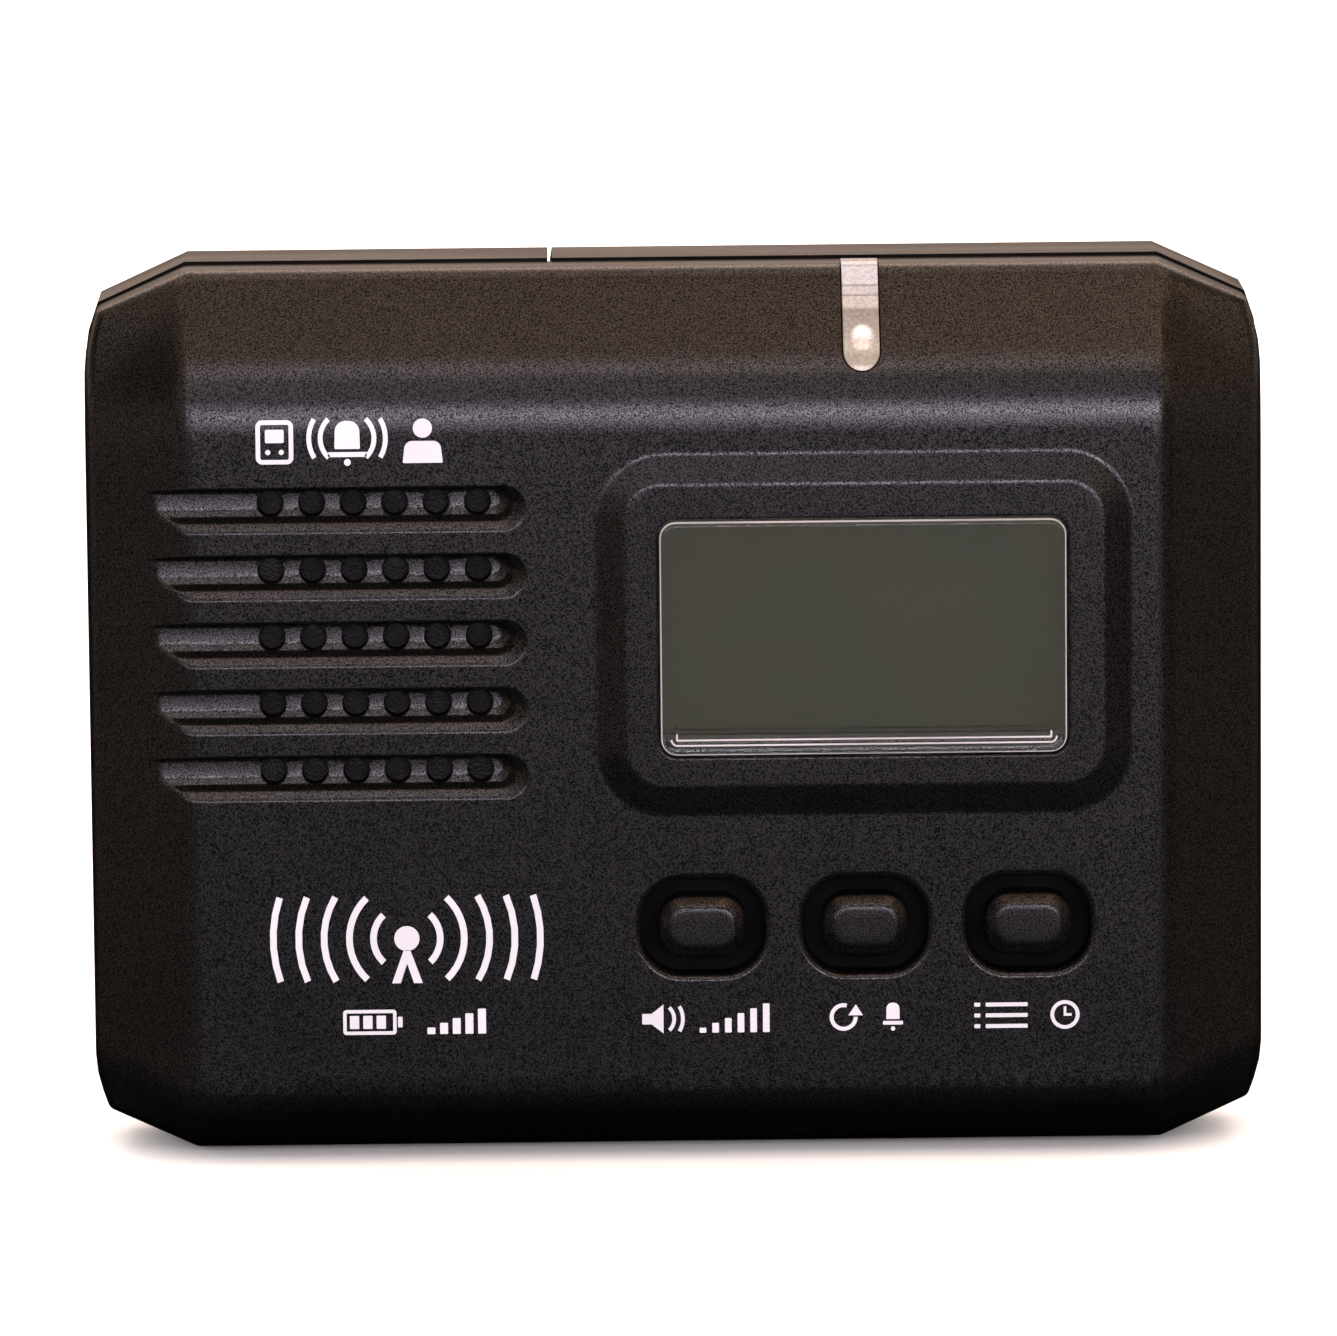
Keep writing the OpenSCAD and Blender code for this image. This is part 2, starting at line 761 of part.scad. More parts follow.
module clip_arm() {
    i = clip_in_y;
    o = clip_out_y;
    toe_y = rear_d + clip_toe_gap;
    color([0.14, 0.14, 0.15]) difference() {
        union() {
            bar(-clip_half, clip_half) polygon([
                [i, clip_neck_z], [i, clip_knee_z],
                [toe_y, clip_toe_z + 5], [toe_y, clip_toe_z + 3.6],
                [i - 0.8, clip_toe_z], [i + 0.8, clip_toe_z], [o, clip_toe_z + 4],
                [o, clip_z + 3], [o + 0.4, clip_top_z], [i + 0.6, clip_top_z], [i, clip_z + 3]
            ]);
            rod_x(-clip_half, clip_half, clip_y, clip_z, knuckle_r);
        }
        box([-knuckle_gap, knuckle_gap], [0, clip_y + 1.95], [clip_z - 3.6, clip_z + 3.6]);
        rod_x(-30, 30, clip_y, clip_z, pin_r + pin_gap);
    }
}

module clip_pin() {
    end_x = clip_half + lug_gap + lug_t;
    color([0.75, 0.76, 0.78]) rod_x(-end_x, end_x, clip_y, clip_z, pin_r - 0.01);
}

module clip_spring() {
    y = clip_y;
    turns = coil(-3.4, 3.4, y, clip_z, clip_coil_r, 5, 12);
    // one leg bears on the case, the other on the thumb end of the arm
    leg_low = [[-3.6, rear_d + 0.5, 51.5], [-3.5, y - 1.5, 54.5]];
    leg_high = [[3.5, y - 1, 59.5], [3.6, y + 0.4, 63]];
    color([0.75, 0.76, 0.78]) tube(concat(leg_low, turns, leg_high), clip_wire_r, 6);
}

module case_screws() {
    color([0.3, 0.3, 0.32]) for (p = case_posts) difference() {
        union() {
            rod_y(p[0], p[1], -6, head_seat_y + 0.2, shank_r);
            rod_y(p[0], p[1], head_seat_y, head_seat_y + head_h, head_r);
        }
        cross_slot(p, head_seat_y + head_h, 2.4);
    }
}

module cross_slot(p, top_y, size) {
    box([p[0] - size / 2, p[0] + size / 2], [top_y - 0.8, top_y + 1], [p[1] - 0.25, p[1] + 0.25]);
    box([p[0] - 0.25, p[0] + 0.25], [top_y - 0.8, top_y + 1], [p[1] - size / 2, p[1] + size / 2]);
}

module board_screws() {
    color([0.75, 0.76, 0.78]) for (p = board_posts) difference() {
        union() {
            rod_y(p[0], p[1], -6, board_y1 + 0.2, board_shank_r);
            rod_y(p[0], p[1], board_y1, board_y1 + 1.2, board_head_r);
        }
        cross_slot(p, board_y1 + 1.2, 2);
    }
}

module speaker_wires() {
    color([0.7, 0.12, 0.1]) for (s = [-1, 1])
        tube([
            [speaker_x + 1.2 * s, -2.5, speaker_z - 10.5], [speaker_x + 1.4 * s, -2.6, speaker_z - 13],
            [speaker_x + 1.8 * s, -2.8, speaker_z - 15], [speaker_x + 2 * s, -2.5, speaker_z - 17.5]
        ], 0.4, 8);
}

module battery_wires() {
    color([0.1, 0.1, 0.1]) for (s = [-1, 1])
        tube([
            [28.3 * s, 8, 29], [28.5 * s, 8, 33], [29.6 * s, 6, 36.5],
            [30.6 * s, 3, 38.6], [31 * s, 0.4, 40.5], [31 * s, 0.15, 42]
        ], 0.5, 8);
}

module motor_wires() {
    color([0.1, 0.2, 0.6]) for (s = [-1, 1])
        tube([
            [motor_x0 - 0.1, motor_y, motor_z + s], [motor_x0 - 2, motor_y, motor_z + 1.2 * s],
            [motor_x0 - 3.6, 3.6, motor_z + 2 + 1.2 * s], [motor_x0 - 4, 1.4, motor_z + 3.5 + 1.2 * s],
            [motor_x0 - 4, 0.3, motor_z + 5.5 + 1.2 * s]
        ], 0.4, 8, [0, 0, 1]);
}

front_shell();
rear_shell();
battery_door();
display_lens();
lcd_front_glass();
lcd_rear_glass();
lcd_reflector();
lcd_holder();
zebra_strip();
main_board();
microcontroller();
smd_parts();
capacitor();
crystal();
rf_board();
rf_header();
rf_chip();
antenna_coil();
status_led();
light_pipe();
speaker_gasket();
speaker_frame();
speaker_cone();
speaker_magnet();
tact_switches();
plunger(button_centres[0]);  // volume_plunger
plunger(button_centres[1]);  // reset_plunger
plunger(button_centres[2]);  // review_plunger
button(button_centres[0]);  // volume_button
button(button_centres[1]);  // reset_button
button(button_centres[2]);  // review_button
motor_can();
motor_sleeve();
motor_shaft();
motor_weight();
cell(cell_z[1], -1);  // battery_upper
cell(cell_z[0], 1);  // battery_lower
battery_springs();
battery_contacts();
clip_arm();
clip_pin();
clip_spring();
case_screws();
board_screws();
speaker_wires();
battery_wires();
motor_wires();
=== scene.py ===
"""Looks of a belt-clip pager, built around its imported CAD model.

The front shell, the window, the light pipe and the prints are reliefs: a flat outline
in X and Z, triangulated along its features, whose points are then lifted to a depth
given by a formula. Depths are in millimetres towards the viewer of the front (-Y),
measured from the plane where the two shells meet. The button caps are lofts through
rounded rectangles.
"""
import json
import math
import bpy
import numpy as np
from mathutils import Matrix, Vector
from mathutils.geometry import delaunay_2d_cdt


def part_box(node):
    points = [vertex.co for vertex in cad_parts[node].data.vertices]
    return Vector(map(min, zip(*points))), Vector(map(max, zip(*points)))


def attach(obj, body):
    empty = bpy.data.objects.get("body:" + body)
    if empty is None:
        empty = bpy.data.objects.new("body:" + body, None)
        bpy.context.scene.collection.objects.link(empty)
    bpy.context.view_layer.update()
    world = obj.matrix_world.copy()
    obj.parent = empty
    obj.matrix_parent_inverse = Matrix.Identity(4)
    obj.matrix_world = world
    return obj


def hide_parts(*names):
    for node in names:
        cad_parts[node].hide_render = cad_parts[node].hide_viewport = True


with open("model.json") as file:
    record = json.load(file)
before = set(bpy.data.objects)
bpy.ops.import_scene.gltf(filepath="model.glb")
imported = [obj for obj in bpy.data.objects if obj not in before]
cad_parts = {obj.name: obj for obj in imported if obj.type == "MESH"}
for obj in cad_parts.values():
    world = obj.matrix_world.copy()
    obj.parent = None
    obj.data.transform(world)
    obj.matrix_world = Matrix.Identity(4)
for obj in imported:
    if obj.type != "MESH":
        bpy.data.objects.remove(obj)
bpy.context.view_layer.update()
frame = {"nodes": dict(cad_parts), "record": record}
nodes = frame["nodes"]
scene = bpy.context.scene
MM = 0.001


def node_box(name):
    """Lowest and highest corner of a CAD node, in millimetres."""
    low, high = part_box(name)
    return np.array(low) / MM, np.array(high) / MM


# ------------------------------ sizes, in mm
shell_high = node_box("front_shell")[1]
lens_low, lens_high = node_box("display_lens")
HALF_W = shell_high[0]
CASE_H = shell_high[2]
MID_Z = CASE_H / 2

FRONT_D = 10.5          # depth of the flat panel
RIDGE_X = 36.5          # where the side facets start
RIDGE_SOFT = 0.9
WALL_D = 3.7            # depth of the straight wall round the rim
SIDE_FALL = 0.67        # share of the rise over the wall that the facets lose
FLAT_X = 36.46          # inner end of the corner chamfer
CHAMFER_X = 43.1        # outer end of the corner chamfer
CHAMFER_Z = 2.98
SIDE_Z = 6.0
BEVEL = math.radians(37)        # lean of the top bevel
BEND_R = 10.0           # the bend from the panel to the top bevel
BEND_Z = 55.0
BOTTOM_Z = 4.4          # where the bottom bevel starts
BOTTOM_SLOPE = 1.45
BOTTOM_SOFT = 1.5
RIM_R = 0.9
SKIN = 2.4              # thickness of the front wall
STEP = 0.24             # how far the front shell stands back from the rear one along the top
LAND = 2.0              # width of the flat land inside the rim

PLATEAU_H = 0.8         # the raised frame round the window
PLATEAU_SLOPE = 2.1
PLATEAU_SOFT = 0.22
PLATEAU = (14.06, 39.85, 39.88, 27.07, 5.0)     # centre x, z, width, height, radius
WINDOW = (lens_low[0] / 2 + lens_high[0] / 2, lens_low[2] / 2 + lens_high[2] / 2,
          30.62, 17.93, 1.4)
WINDOW_R = 0.18         # rounding of the window's edge

GROOVES = 5
GROOVE_PITCH = 5.05
GROOVE_OUT = (-12.755, 49.485, 1.685)           # end x, centre z, radius at the panel
GROOVE_FLOOR = (-13.35, 49.86, 1.09)            # the same one step further in
GROOVE_STEPS = ((0.0, 0.74, 0.46), (0.74, 0.42, 0.56), (1.16, 0.51, 0.30))  # start, width, drop
GROOVE_SOFT = 0.07
GROOVE_IN = 1.67        # where the floor starts, in the same steps
GROOVE_TILT = 0.1
GROOVE_LEFT = -41.0
GROOVE_LINES = (-0.55, -0.25, -0.1, 0.02, 0.1, 0.4, 0.66, 0.74, 0.82, 0.95, 1.08, 1.16, 1.24,
                1.45, 1.59, GROOVE_IN)          # where mesh lines follow the outline
HOLES = 6
HOLE_R = 0.95
HOLE_EDGE = 0.1
HOLE_X = -30.13
HOLE_Z = 49.89
HOLE_PITCH = 3.09

BUTTONS = {n: sum(node_box(n)) / 2 for n in ("volume_button", "reset_button", "review_button")}
POCKET = (9.25, 7.27, 3.1)      # width, height, radius
POCKET_R = 0.5
CAP = (6.5, 4.65, 1.9)
FLANGE = (10.6, 8.4, 3.0)       # keeps the cap in its pocket
FLANGE_Y = (-7.18, -7.95)       # its back and front
STEM = (3.2, 3.0, 1.4)

PIPE_X = 14.02
PIPE_W = 2.75
PIPE_END = 59.4
PIPE_SINK = 1.9
PIPE_FIT = 0.02         # what the light pipe leaves free all round
PIPE_TONE = 0.67
PIPE_TOP = CASE_H - 0.02
PIPE_LINES = (64.65, 65.34)     # two fine moulded lines across the light pipe
SLOT_GAP = 0.06
LAMP_HIGHLIGHT_AT = (14.1, 61.7, 0.98, 1.05)      # x, z and half sizes of the painted highlight of the lamp's dome

CLOTH_X = (-31.7, -13.2)
CLOTH_Z = (27.4, 52.2)
CLOTH_D = 8.02          # depth of the dust cloth's back

PRINT_H = 0.02          # height of the ink over the shell
ICON_Z = 54.6           # middle of the prints over the grooves
LABEL_Z = 10.75         # middle of those under the buttons
MARK_X = -20.35         # middle of those at the lower left


# ------------------------------ flat outlines
def rounded(corners, step=1.0):
    """Points round a closed outline whose corners are (x, z, radius), anticlockwise."""
    points = []
    for i, (x, z, radius) in enumerate(corners):
        here = np.array([x, z])
        back = np.array(corners[i - 1][:2]) - here
        ahead = np.array(corners[(i + 1) % len(corners)][:2]) - here
        back /= np.linalg.norm(back)
        ahead /= np.linalg.norm(ahead)
        half = math.acos(np.clip(back @ ahead, -1, 1)) / 2
        middle = (back + ahead) / np.linalg.norm(back + ahead)
        centre = here + middle * radius / math.sin(half)
        start = here + back * radius / math.tan(half) - centre
        end = here + ahead * radius / math.tan(half) - centre
        a0 = math.atan2(start[1], start[0])
        sweep = (math.atan2(end[1], end[0]) - a0 + math.pi) % (2 * math.pi) - math.pi
        count = max(2, math.ceil(abs(sweep) / math.radians(11)))
        for k in range(count + 1):
            a = a0 + sweep * k / count
            points.append(centre + radius * np.array([math.cos(a), math.sin(a)]))
    return divided(np.array(points), step, closed=True)


def divided(points, step, closed=False):
    """The same line with points added so that no stretch is longer than step."""
    out = []
    last = len(points) if closed else len(points) - 1
    for i in range(last):
        a, b = points[i], points[(i + 1) % len(points)]
        n = max(1, math.ceil(np.linalg.norm(b - a) / step))
        out += [a + (b - a) * k / n for k in range(n)]
    if not closed:
        out.append(points[-1])
    return np.array(out)


def inset(corners, s):
    """The corners of a convex outline drawn in by s."""
    lines = []
    for i, c in enumerate(corners):
        a = np.array(c[:2])
        b = np.array(corners[(i + 1) % len(corners)][:2])
        d = (b - a) / np.linalg.norm(b - a)
        lines.append((a + s * np.array([-d[1], d[0]]), d))
    out = []
    for i, c in enumerate(corners):
        (p, d), (q, e) = lines[i - 1], lines[i]
        t = np.linalg.solve(np.array([d, -e]).T, q - p)[0]
        x, z = p + t * d
        out.append((x, z, max(c[2] - s, 0.06)))
    return out


def block(cx, cz, w, h, r):
    """The corners of a rounded rectangle."""
    x, z = w / 2, h / 2
    return [(cx + x, cz - z, r), (cx + x, cz + z, r), (cx - x, cz + z, r), (cx - x, cz - z, r)]


def rolled(corners, radius, angles, step):
    """Outlines that follow a rounded edge, one for each angle in degrees round it."""
    return [rounded(inset(corners, radius * (1 - math.cos(math.radians(a)))), step) for a in angles]


def arc(cx, cz, r, start, end, count):
    """Points on an arc between two angles in degrees."""
    a = np.radians(np.linspace(start, end, count))
    return np.stack([cx + r * np.cos(a), cz + r * np.sin(a)], 1)


def ring(cx, cz, r, count):
    a = np.arange(count) * 2 * math.pi / count
    return np.stack([cx + r * np.cos(a), cz + r * np.sin(a)], 1)


def tongue(r, top, count, step, closed=False):
    """The outline of the light pipe or its slot: a round end below two straight sides."""
    end = arc(PIPE_X, PIPE_END + PIPE_W / 2, r, 180, 360, count)
    return divided(np.concatenate([[(PIPE_X - r, top)], end, [(PIPE_X + r, top)]]), step, closed)


def case_corners():
    """The case outline: chamfers at the corners, then long curves into the sides."""
    quarter = [(FLAT_X, 0.0, 1.2), (CHAMFER_X, CHAMFER_Z, 0.8), (HALF_W, SIDE_Z, 11.0)]
    right = quarter + [(x, CASE_H - STEP - z, r) for x, z, r in reversed(quarter)]
    return right + [(-x, z, r) for x, z, r in reversed(right)]


CASE = case_corners()
CASE_LINE = rounded(CASE, 4.0)


# ------------------------------ distances and blends
def box_gap(x, z, cx, cz, w, h, r):
    """Distance outside a rounded rectangle, negative inside."""
    qx = np.abs(x - cx) - w / 2 + r
    qz = np.abs(z - cz) - h / 2 + r
    return np.hypot(np.maximum(qx, 0), np.maximum(qz, 0)) + np.minimum(np.maximum(qx, qz), 0) - r


def case_inside(x, z):
    """Distance inside the case outline."""
    a = CASE_LINE
    b = np.roll(a, -1, axis=0)
    d = b - a
    size = (d ** 2).sum(1)
    best = np.full(x.shape, 1e9)
    sign = np.full(x.shape, 1e9)
    for (ax, az), (dx, dz), s in zip(a, d, size):
        px, pz = x - ax, z - az
        t = np.clip((px * dx + pz * dz) / s, 0, 1)
        best = np.minimum(best, np.hypot(px - t * dx, pz - t * dz))
        sign = np.minimum(sign, (dx * pz - dz * px) / math.sqrt(s))
    return np.where(sign >= 0, best, -best)


def smin(a, b, k):
    """The smaller of a and b, with the corner between them rounded."""
    h = np.clip(0.5 + 0.5 * (b - a) / k, 0, 1)
    return b * (1 - h) + a * h - k * h * (1 - h)


def smax(a, b, k):
    return -smin(-a, -b, k)


def ramp(s, width, soft):
    """0 below s = 0 and 1 above s = width, straight between, with rounded ends."""
    return (smax(s, 0, soft) - smax(s - width, 0, soft)) / width


def fillet(s, r):
    """How far a rounded edge has dropped at the distance s inside it."""
    t = np.clip(1 - s / r, 0, 1)
    return r * (1 - np.sqrt(np.clip(1 - t * t, 0, 1)))


# ------------------------------ depth of the front
def profile(z):
    """Depth up the middle of the front: bottom bevel, panel, bend, top bevel."""
    rise = np.clip(z - BEND_Z, 0, BEND_R * math.sin(BEVEL))
    arc = FRONT_D - BEND_R + np.sqrt(BEND_R ** 2 - rise ** 2)
    over = np.maximum(z - BEND_Z - BEND_R * math.sin(BEVEL), 0)
    top = arc - over * math.tan(BEVEL)
    return smin(top, FRONT_D - (BOTTOM_Z - z) * BOTTOM_SLOPE, BOTTOM_SOFT)


def base(x, z):
    """Depth of the case without its features."""
    slope = CHAMFER_Z / (CHAMFER_X - FLAT_X)
    out = np.maximum(np.abs(x) - FLAT_X, 0) * slope
    reach = MID_Z - out
    middle = MID_Z + (z - MID_Z) * MID_Z / reach
    lean = smax(np.abs(x) - RIDGE_X, 0, RIDGE_SOFT) / (HALF_W - RIDGE_X)
    return WALL_D + (profile(middle) - WALL_D) * (1 - SIDE_FALL * lean)


def groove_line(t, row):
    """End x, centre z and radius of a groove's outline, from the panel (0) to the floor (1)."""
    end, centre, r = (a + (b - a) * t for a, b in zip(GROOVE_OUT, GROOVE_FLOOR))
    return end, centre - row * GROOVE_PITCH, r


def groove(x, z, row):
    """Depth that a groove cuts down to."""
    def gap(t):
        end, centre, r = groove_line(t, row)
        return np.hypot(np.maximum(x - end, 0), z - centre) - r
    low, high = np.zeros_like(x), np.full_like(x, GROOVE_IN)
    for _ in range(22):
        t = (low + high) / 2
        inside = gap(t) < 0
        low = np.where(inside, t, low)
        high = np.where(inside, high, t)
    t = (low + high) / 2
    # beyond the outline the cut runs on above the panel, so that a blend rounds the edge
    outer = gap(0.0)
    t = np.where(outer > 0, -outer / 0.5, t)
    cut = np.minimum(t, 0) * 1.4
    for start, width, drop in GROOVE_STEPS:
        cut = cut + drop * ramp(t - start, width, GROOVE_SOFT)
    # the floor rises a little towards its lower edge
    _, centre, r = groove_line(GROOVE_IN, row)
    up = np.clip((z - centre + r) / (2 * r), 0, 1)
    cut = cut + GROOVE_TILT * (1 - (1 - up) ** 2) * np.clip(t / GROOVE_IN, 0, 1)
    return FRONT_D - cut


def slot_gap(x, z, w=PIPE_W):
    """Distance outside the tongue-shaped slot of the light pipe."""
    centre = PIPE_END + PIPE_W / 2
    return np.hypot(x - PIPE_X, np.minimum(z - centre, 0)) - w / 2


def hole_centres():
    return [(HOLE_X + i * HOLE_PITCH, HOLE_Z - row * GROOVE_PITCH)
            for row in range(GROOVES) for i in range(HOLES)]


def front(x, z):
    """Depth of the outside of the front shell."""
    d = base(x, z)
    d = d + PLATEAU_H * ramp(-box_gap(x, z, *PLATEAU), PLATEAU_SLOPE, PLATEAU_SOFT)
    d = d - fillet(box_gap(x, z, *WINDOW), WINDOW_R)
    for c in BUTTONS.values():
        d = d - fillet(box_gap(x, z, c[0], c[2], *POCKET), POCKET_R)
    for row in range(GROOVES):
        d = smin(d, groove(x, z, row), 0.2)
    for hx, hz in hole_centres():
        d = d - fillet(np.hypot(x - hx, z - hz) - HOLE_R, HOLE_EDGE)
    d = d - PIPE_SINK * ramp(SLOT_GAP - slot_gap(x, z), 0.08, 0.03)
    return d - fillet(case_inside(x, z), RIM_R)


def front_inside(x, z):
    """Depth of the inside of the front shell, with a flat land round the rim."""
    inside = ramp(case_inside(x, z) - LAND, 0.1, 0.02)
    return 0.1 + (base(x, z) - SKIN - 0.1) * inside


# ------------------------------ reliefs
def even_odd(points, loops):
    """True for the points inside an odd number of the closed loops."""
    inside = np.zeros(len(points), bool)
    x, z = points[:, 0], points[:, 1]
    for loop in loops:
        lo, hi = loop.min(0), loop.max(0)
        near = np.flatnonzero((x >= lo[0]) & (x <= hi[0]) & (z >= lo[1]) & (z <= hi[1]))
        if not len(near):
            continue
        px, pz = x[near], z[near]
        hit = np.zeros(len(near), bool)
        for a, b in zip(loop, np.roll(loop, -1, axis=0)):
            if a[1] == b[1]:
                continue
            cross = (a[1] > pz) != (b[1] > pz)
            hit ^= cross & (px < (b[0] - a[0]) * (pz - a[1]) / (b[1] - a[1]) + a[0])
        inside[near] ^= hit
    return inside


def triangulate(edges_of, loops, lines=(), loose=()):
    """A triangulation that keeps every closed loop and open line, cut to inside edges_of."""
    verts, edges = [], []
    for group, closed in ((loops, True), (lines, False)):
        for line in group:
            start = len(verts)
            verts += [Vector(p) for p in line]
            edges += [(start + i, start + i + 1) for i in range(len(line) - 1)]
            if closed:
                edges.append((start + len(line) - 1, start))
    verts += [Vector(p) for p in loose]
    out = delaunay_2d_cdt(verts, edges, [], 0, 1e-5)
    points = np.array([tuple(v) for v in out[0]])
    faces = np.array([f for f in out[2] if len(f) == 3])
    centre = points[faces].mean(1)
    faces = faces[even_odd(centre, edges_of)]
    a, b, c = (points[faces[:, i]] for i in range(3))
    area = (b[:, 0] - a[:, 0]) * (c[:, 1] - a[:, 1]) - (b[:, 1] - a[:, 1]) * (c[:, 0] - a[:, 0])
    faces = np.where((area < 0)[:, None], faces[:, ::-1], faces)
    faces = faces[np.abs(area) > 1e-9]
    used, index = np.unique(faces, return_inverse=True)
    return points[used], index.reshape(-1, 3)


def slopes(depth, points):
    """Unit normals of the surface y = -depth(x, z)."""
    reach = 0.012
    x, z = points[:, 0], points[:, 1]
    dx = (depth(x + reach, z) - depth(x - reach, z)) / (2 * reach)
    dz = (depth(x, z + reach) - depth(x, z - reach)) / (2 * reach)
    n = np.stack([-dx, -np.ones_like(dx), -dz], 1)
    return n / np.linalg.norm(n, axis=1)[:, None]


def new_mesh(name, verts, faces):
    mesh = bpy.data.meshes.new(name)
    mesh.from_pydata(verts, [], faces)
    mesh.polygons.foreach_set("use_smooth", [True] * len(faces))
    return mesh


def put(name, data):
    """A new object in the scene."""
    piece = bpy.data.objects.new(name, data)
    scene.collection.objects.link(piece)
    return piece


def relief(name, points, faces, outer, inner):
    """A closed piece between two depths over a flat triangulation, with exact normals."""
    x, z = points[:, 0], points[:, 1]
    count = len(points)
    front_co = np.stack([x, -outer(x, z), z], 1)
    back_co = np.stack([x, -inner(x, z), z], 1)
    sides = np.concatenate([faces[:, [0, 1]], faces[:, [1, 2]], faces[:, [2, 0]]])
    keys = np.sort(sides, axis=1)
    _, first, number = np.unique(keys, axis=0, return_index=True, return_counts=True)
    rim = sides[first[number == 1]]
    # front faces look along -Y, back faces along +Y, walls join them
    polys = [list(map(int, f)) for f in faces]
    polys += [[int(i) + count for i in f[::-1]] for f in faces]
    polys += [[int(b), int(a), int(a) + count, int(b) + count] for a, b in rim]
    mesh = new_mesh(name, (np.concatenate([front_co, back_co]) * MM).tolist(), polys)
    # wall normals, smooth round a curve and sharp at a corner
    step = points[rim[:, 1]] - points[rim[:, 0]]
    flat = np.stack([step[:, 1], np.zeros(len(step)), -step[:, 0]], 1)
    flat /= np.linalg.norm(flat, axis=1)[:, None]
    after = {int(a): i for i, (a, _) in enumerate(rim)}
    before = {int(b): i for i, (_, b) in enumerate(rim)}
    outer_n, inner_n = slopes(outer, points), -slopes(inner, points)
    corner = [outer_n[faces].reshape(-1, 3), inner_n[faces[:, ::-1]].reshape(-1, 3)]
    walls = []
    for i, (a, b) in enumerate(rim):
        ends = []
        for other in (after.get(int(b), i), before.get(int(a), i)):
            n = flat[i] + flat[other] if flat[i] @ flat[other] > 0.8 else flat[i]
            ends.append(n / np.linalg.norm(n))
        walls += [ends[0], ends[1], ends[1], ends[0]]
    corner.append(np.array(walls))
    mesh.normals_split_custom_set(np.concatenate(corner).tolist())
    mesh.update()
    return put(name, mesh)


def grid(x0, x1, z0, z1, step_x, step_z):
    xs = np.arange(x0, x1, step_x)
    zs = np.arange(z0, z1, step_z)
    return np.array([(x + (step_x / 2 if j % 2 else 0), z) for j, z in enumerate(zs) for x in xs])


def clear_of(points, lines, room):
    """The points that keep their distance from every line's points."""
    taken = {}
    for line in lines:
        for p in line:
            taken.setdefault((int(p[0] // room), int(p[1] // room)), []).append(p)
    keep = []
    for p in points:
        i, j = int(p[0] // room), int(p[1] // room)
        near = [q for a in (i - 1, i, i + 1) for b in (j - 1, j, j + 1)
                for q in taken.get((a, b), ())]
        if all((p[0] - q[0]) ** 2 + (p[1] - q[1]) ** 2 > room * room for q in near):
            keep.append(p)
    return keep


def within(points, outline):
    """The points inside a closed outline."""
    return [p for p, ok in zip(points, even_odd(np.array(points), [outline])) if ok]


def groove_outline(row, t, share, step):
    """A mesh line along a groove, drawn in towards its middle by a share of its width."""
    end, centre, r = groove_line(t, row)
    r = r * share
    whole = np.concatenate([[(GROOVE_LEFT, centre - r)], arc(end, centre, r, -90, 90, 17),
                            [(GROOVE_LEFT, centre + r)]])
    return divided(whole, step)


def shell_lines():
    """The open mesh lines along the grooves, the light pipe's slot, the ridges and the bends."""
    lines = []
    for row in range(GROOVES):
        lines += [groove_outline(row, t, 1, 0.7) for t in GROOVE_LINES]
        lines += [groove_outline(row, GROOVE_IN, share, 0.9) for share in (0.35, 0.7)]
    lines += [tongue(PIPE_W / 2 + (SLOT_GAP + g), PIPE_TOP, 15, 0.5)
              for g in (0.05, 0.0, -0.04, -0.08, -0.13)]
    for side in (-1, 1):
        for dx in (-0.9, -0.6, -0.3, 0, 0.3, 0.6, 0.9, 2.2):
            x = side * (RIDGE_X + dx)
            lines.append(divided(np.array([(x, 3.2), (x, CASE_H - 3.2)]), 1.4))
    bend = BEND_R * math.sin(BEVEL)
    flat = RIDGE_X - 1.2
    heights = [BEND_Z + bend * k / 9 for k in range(-1, 11)]
    heights += [BOTTOM_Z + k * 0.3 for k in range(-4, 4)]
    return lines + [divided(np.array([(-flat, z), (flat, z)]), 1.3) for z in heights]


def make_front_shell():
    edge = rounded(CASE, 0.9)
    holes = [rounded(block(*WINDOW), 0.9)]
    loops = [edge] + rolled(CASE, RIM_R, (14, 28, 42, 56, 73, 90), 0.9)
    loops += [rounded(inset(CASE, s), 1.6) for s in (LAND, LAND + 0.1)]
    loops += [rounded(inset(block(*PLATEAU), foot + PLATEAU_SOFT * k), 0.8)
              for foot in (0, PLATEAU_SLOPE) for k in (-1.2, -0.6, 0, 0.6, 1.2)]
    loops += [rounded(inset(block(*WINDOW), -s), 0.9) for s in (0.04, 0.1, 0.19)]
    for c in BUTTONS.values():
        pocket = block(c[0], c[2], *POCKET)
        holes.append(rounded(pocket, 0.5))
        loops += rolled(pocket, -POCKET_R, (16, 32, 48, 64, 90), 0.5)
    for hx, hz in hole_centres():
        holes.append(ring(hx, hz, HOLE_R, 24))
        loops += [ring(hx, hz, HOLE_R + s, 24) for s in (0.03, HOLE_EDGE)]
    lines = shell_lines()
    # loose points: an even grid, and a finer one where the grooves run out on the side facet
    fine = [grid(-40.6, -35.5, 45.5 - row * GROOVE_PITCH, 52 - row * GROOVE_PITCH, 0.3, 0.3)
            for row in range(GROOVES)]
    loose = np.concatenate([grid(-HALF_W, HALF_W, 0, CASE_H, 1.3, 1.1), *fine])
    loose = loose[case_inside(loose[:, 0], loose[:, 1]) > 1.2]
    loose = clear_of(loose, loops + holes + lines, 0.26)
    # no line may lie inside a hole or cross it
    lines = [part for line in lines for part in outside(line, holes)]
    points, faces = triangulate([edge] + holes, [edge] + holes + loops[1:], lines, loose)
    return relief("front_shell_moulding", points, faces, front, front_inside)


def outside(line, holes):
    """The stretches of an open line that lie outside every hole."""
    free = ~even_odd(line, holes)
    parts, run = [], []
    for p, ok in zip(line, free):
        if ok:
            run.append(p)
        else:
            if len(run) > 1:
                parts.append(np.array(run))
            run = []
    if len(run) > 1:
        parts.append(np.array(run))
    return parts


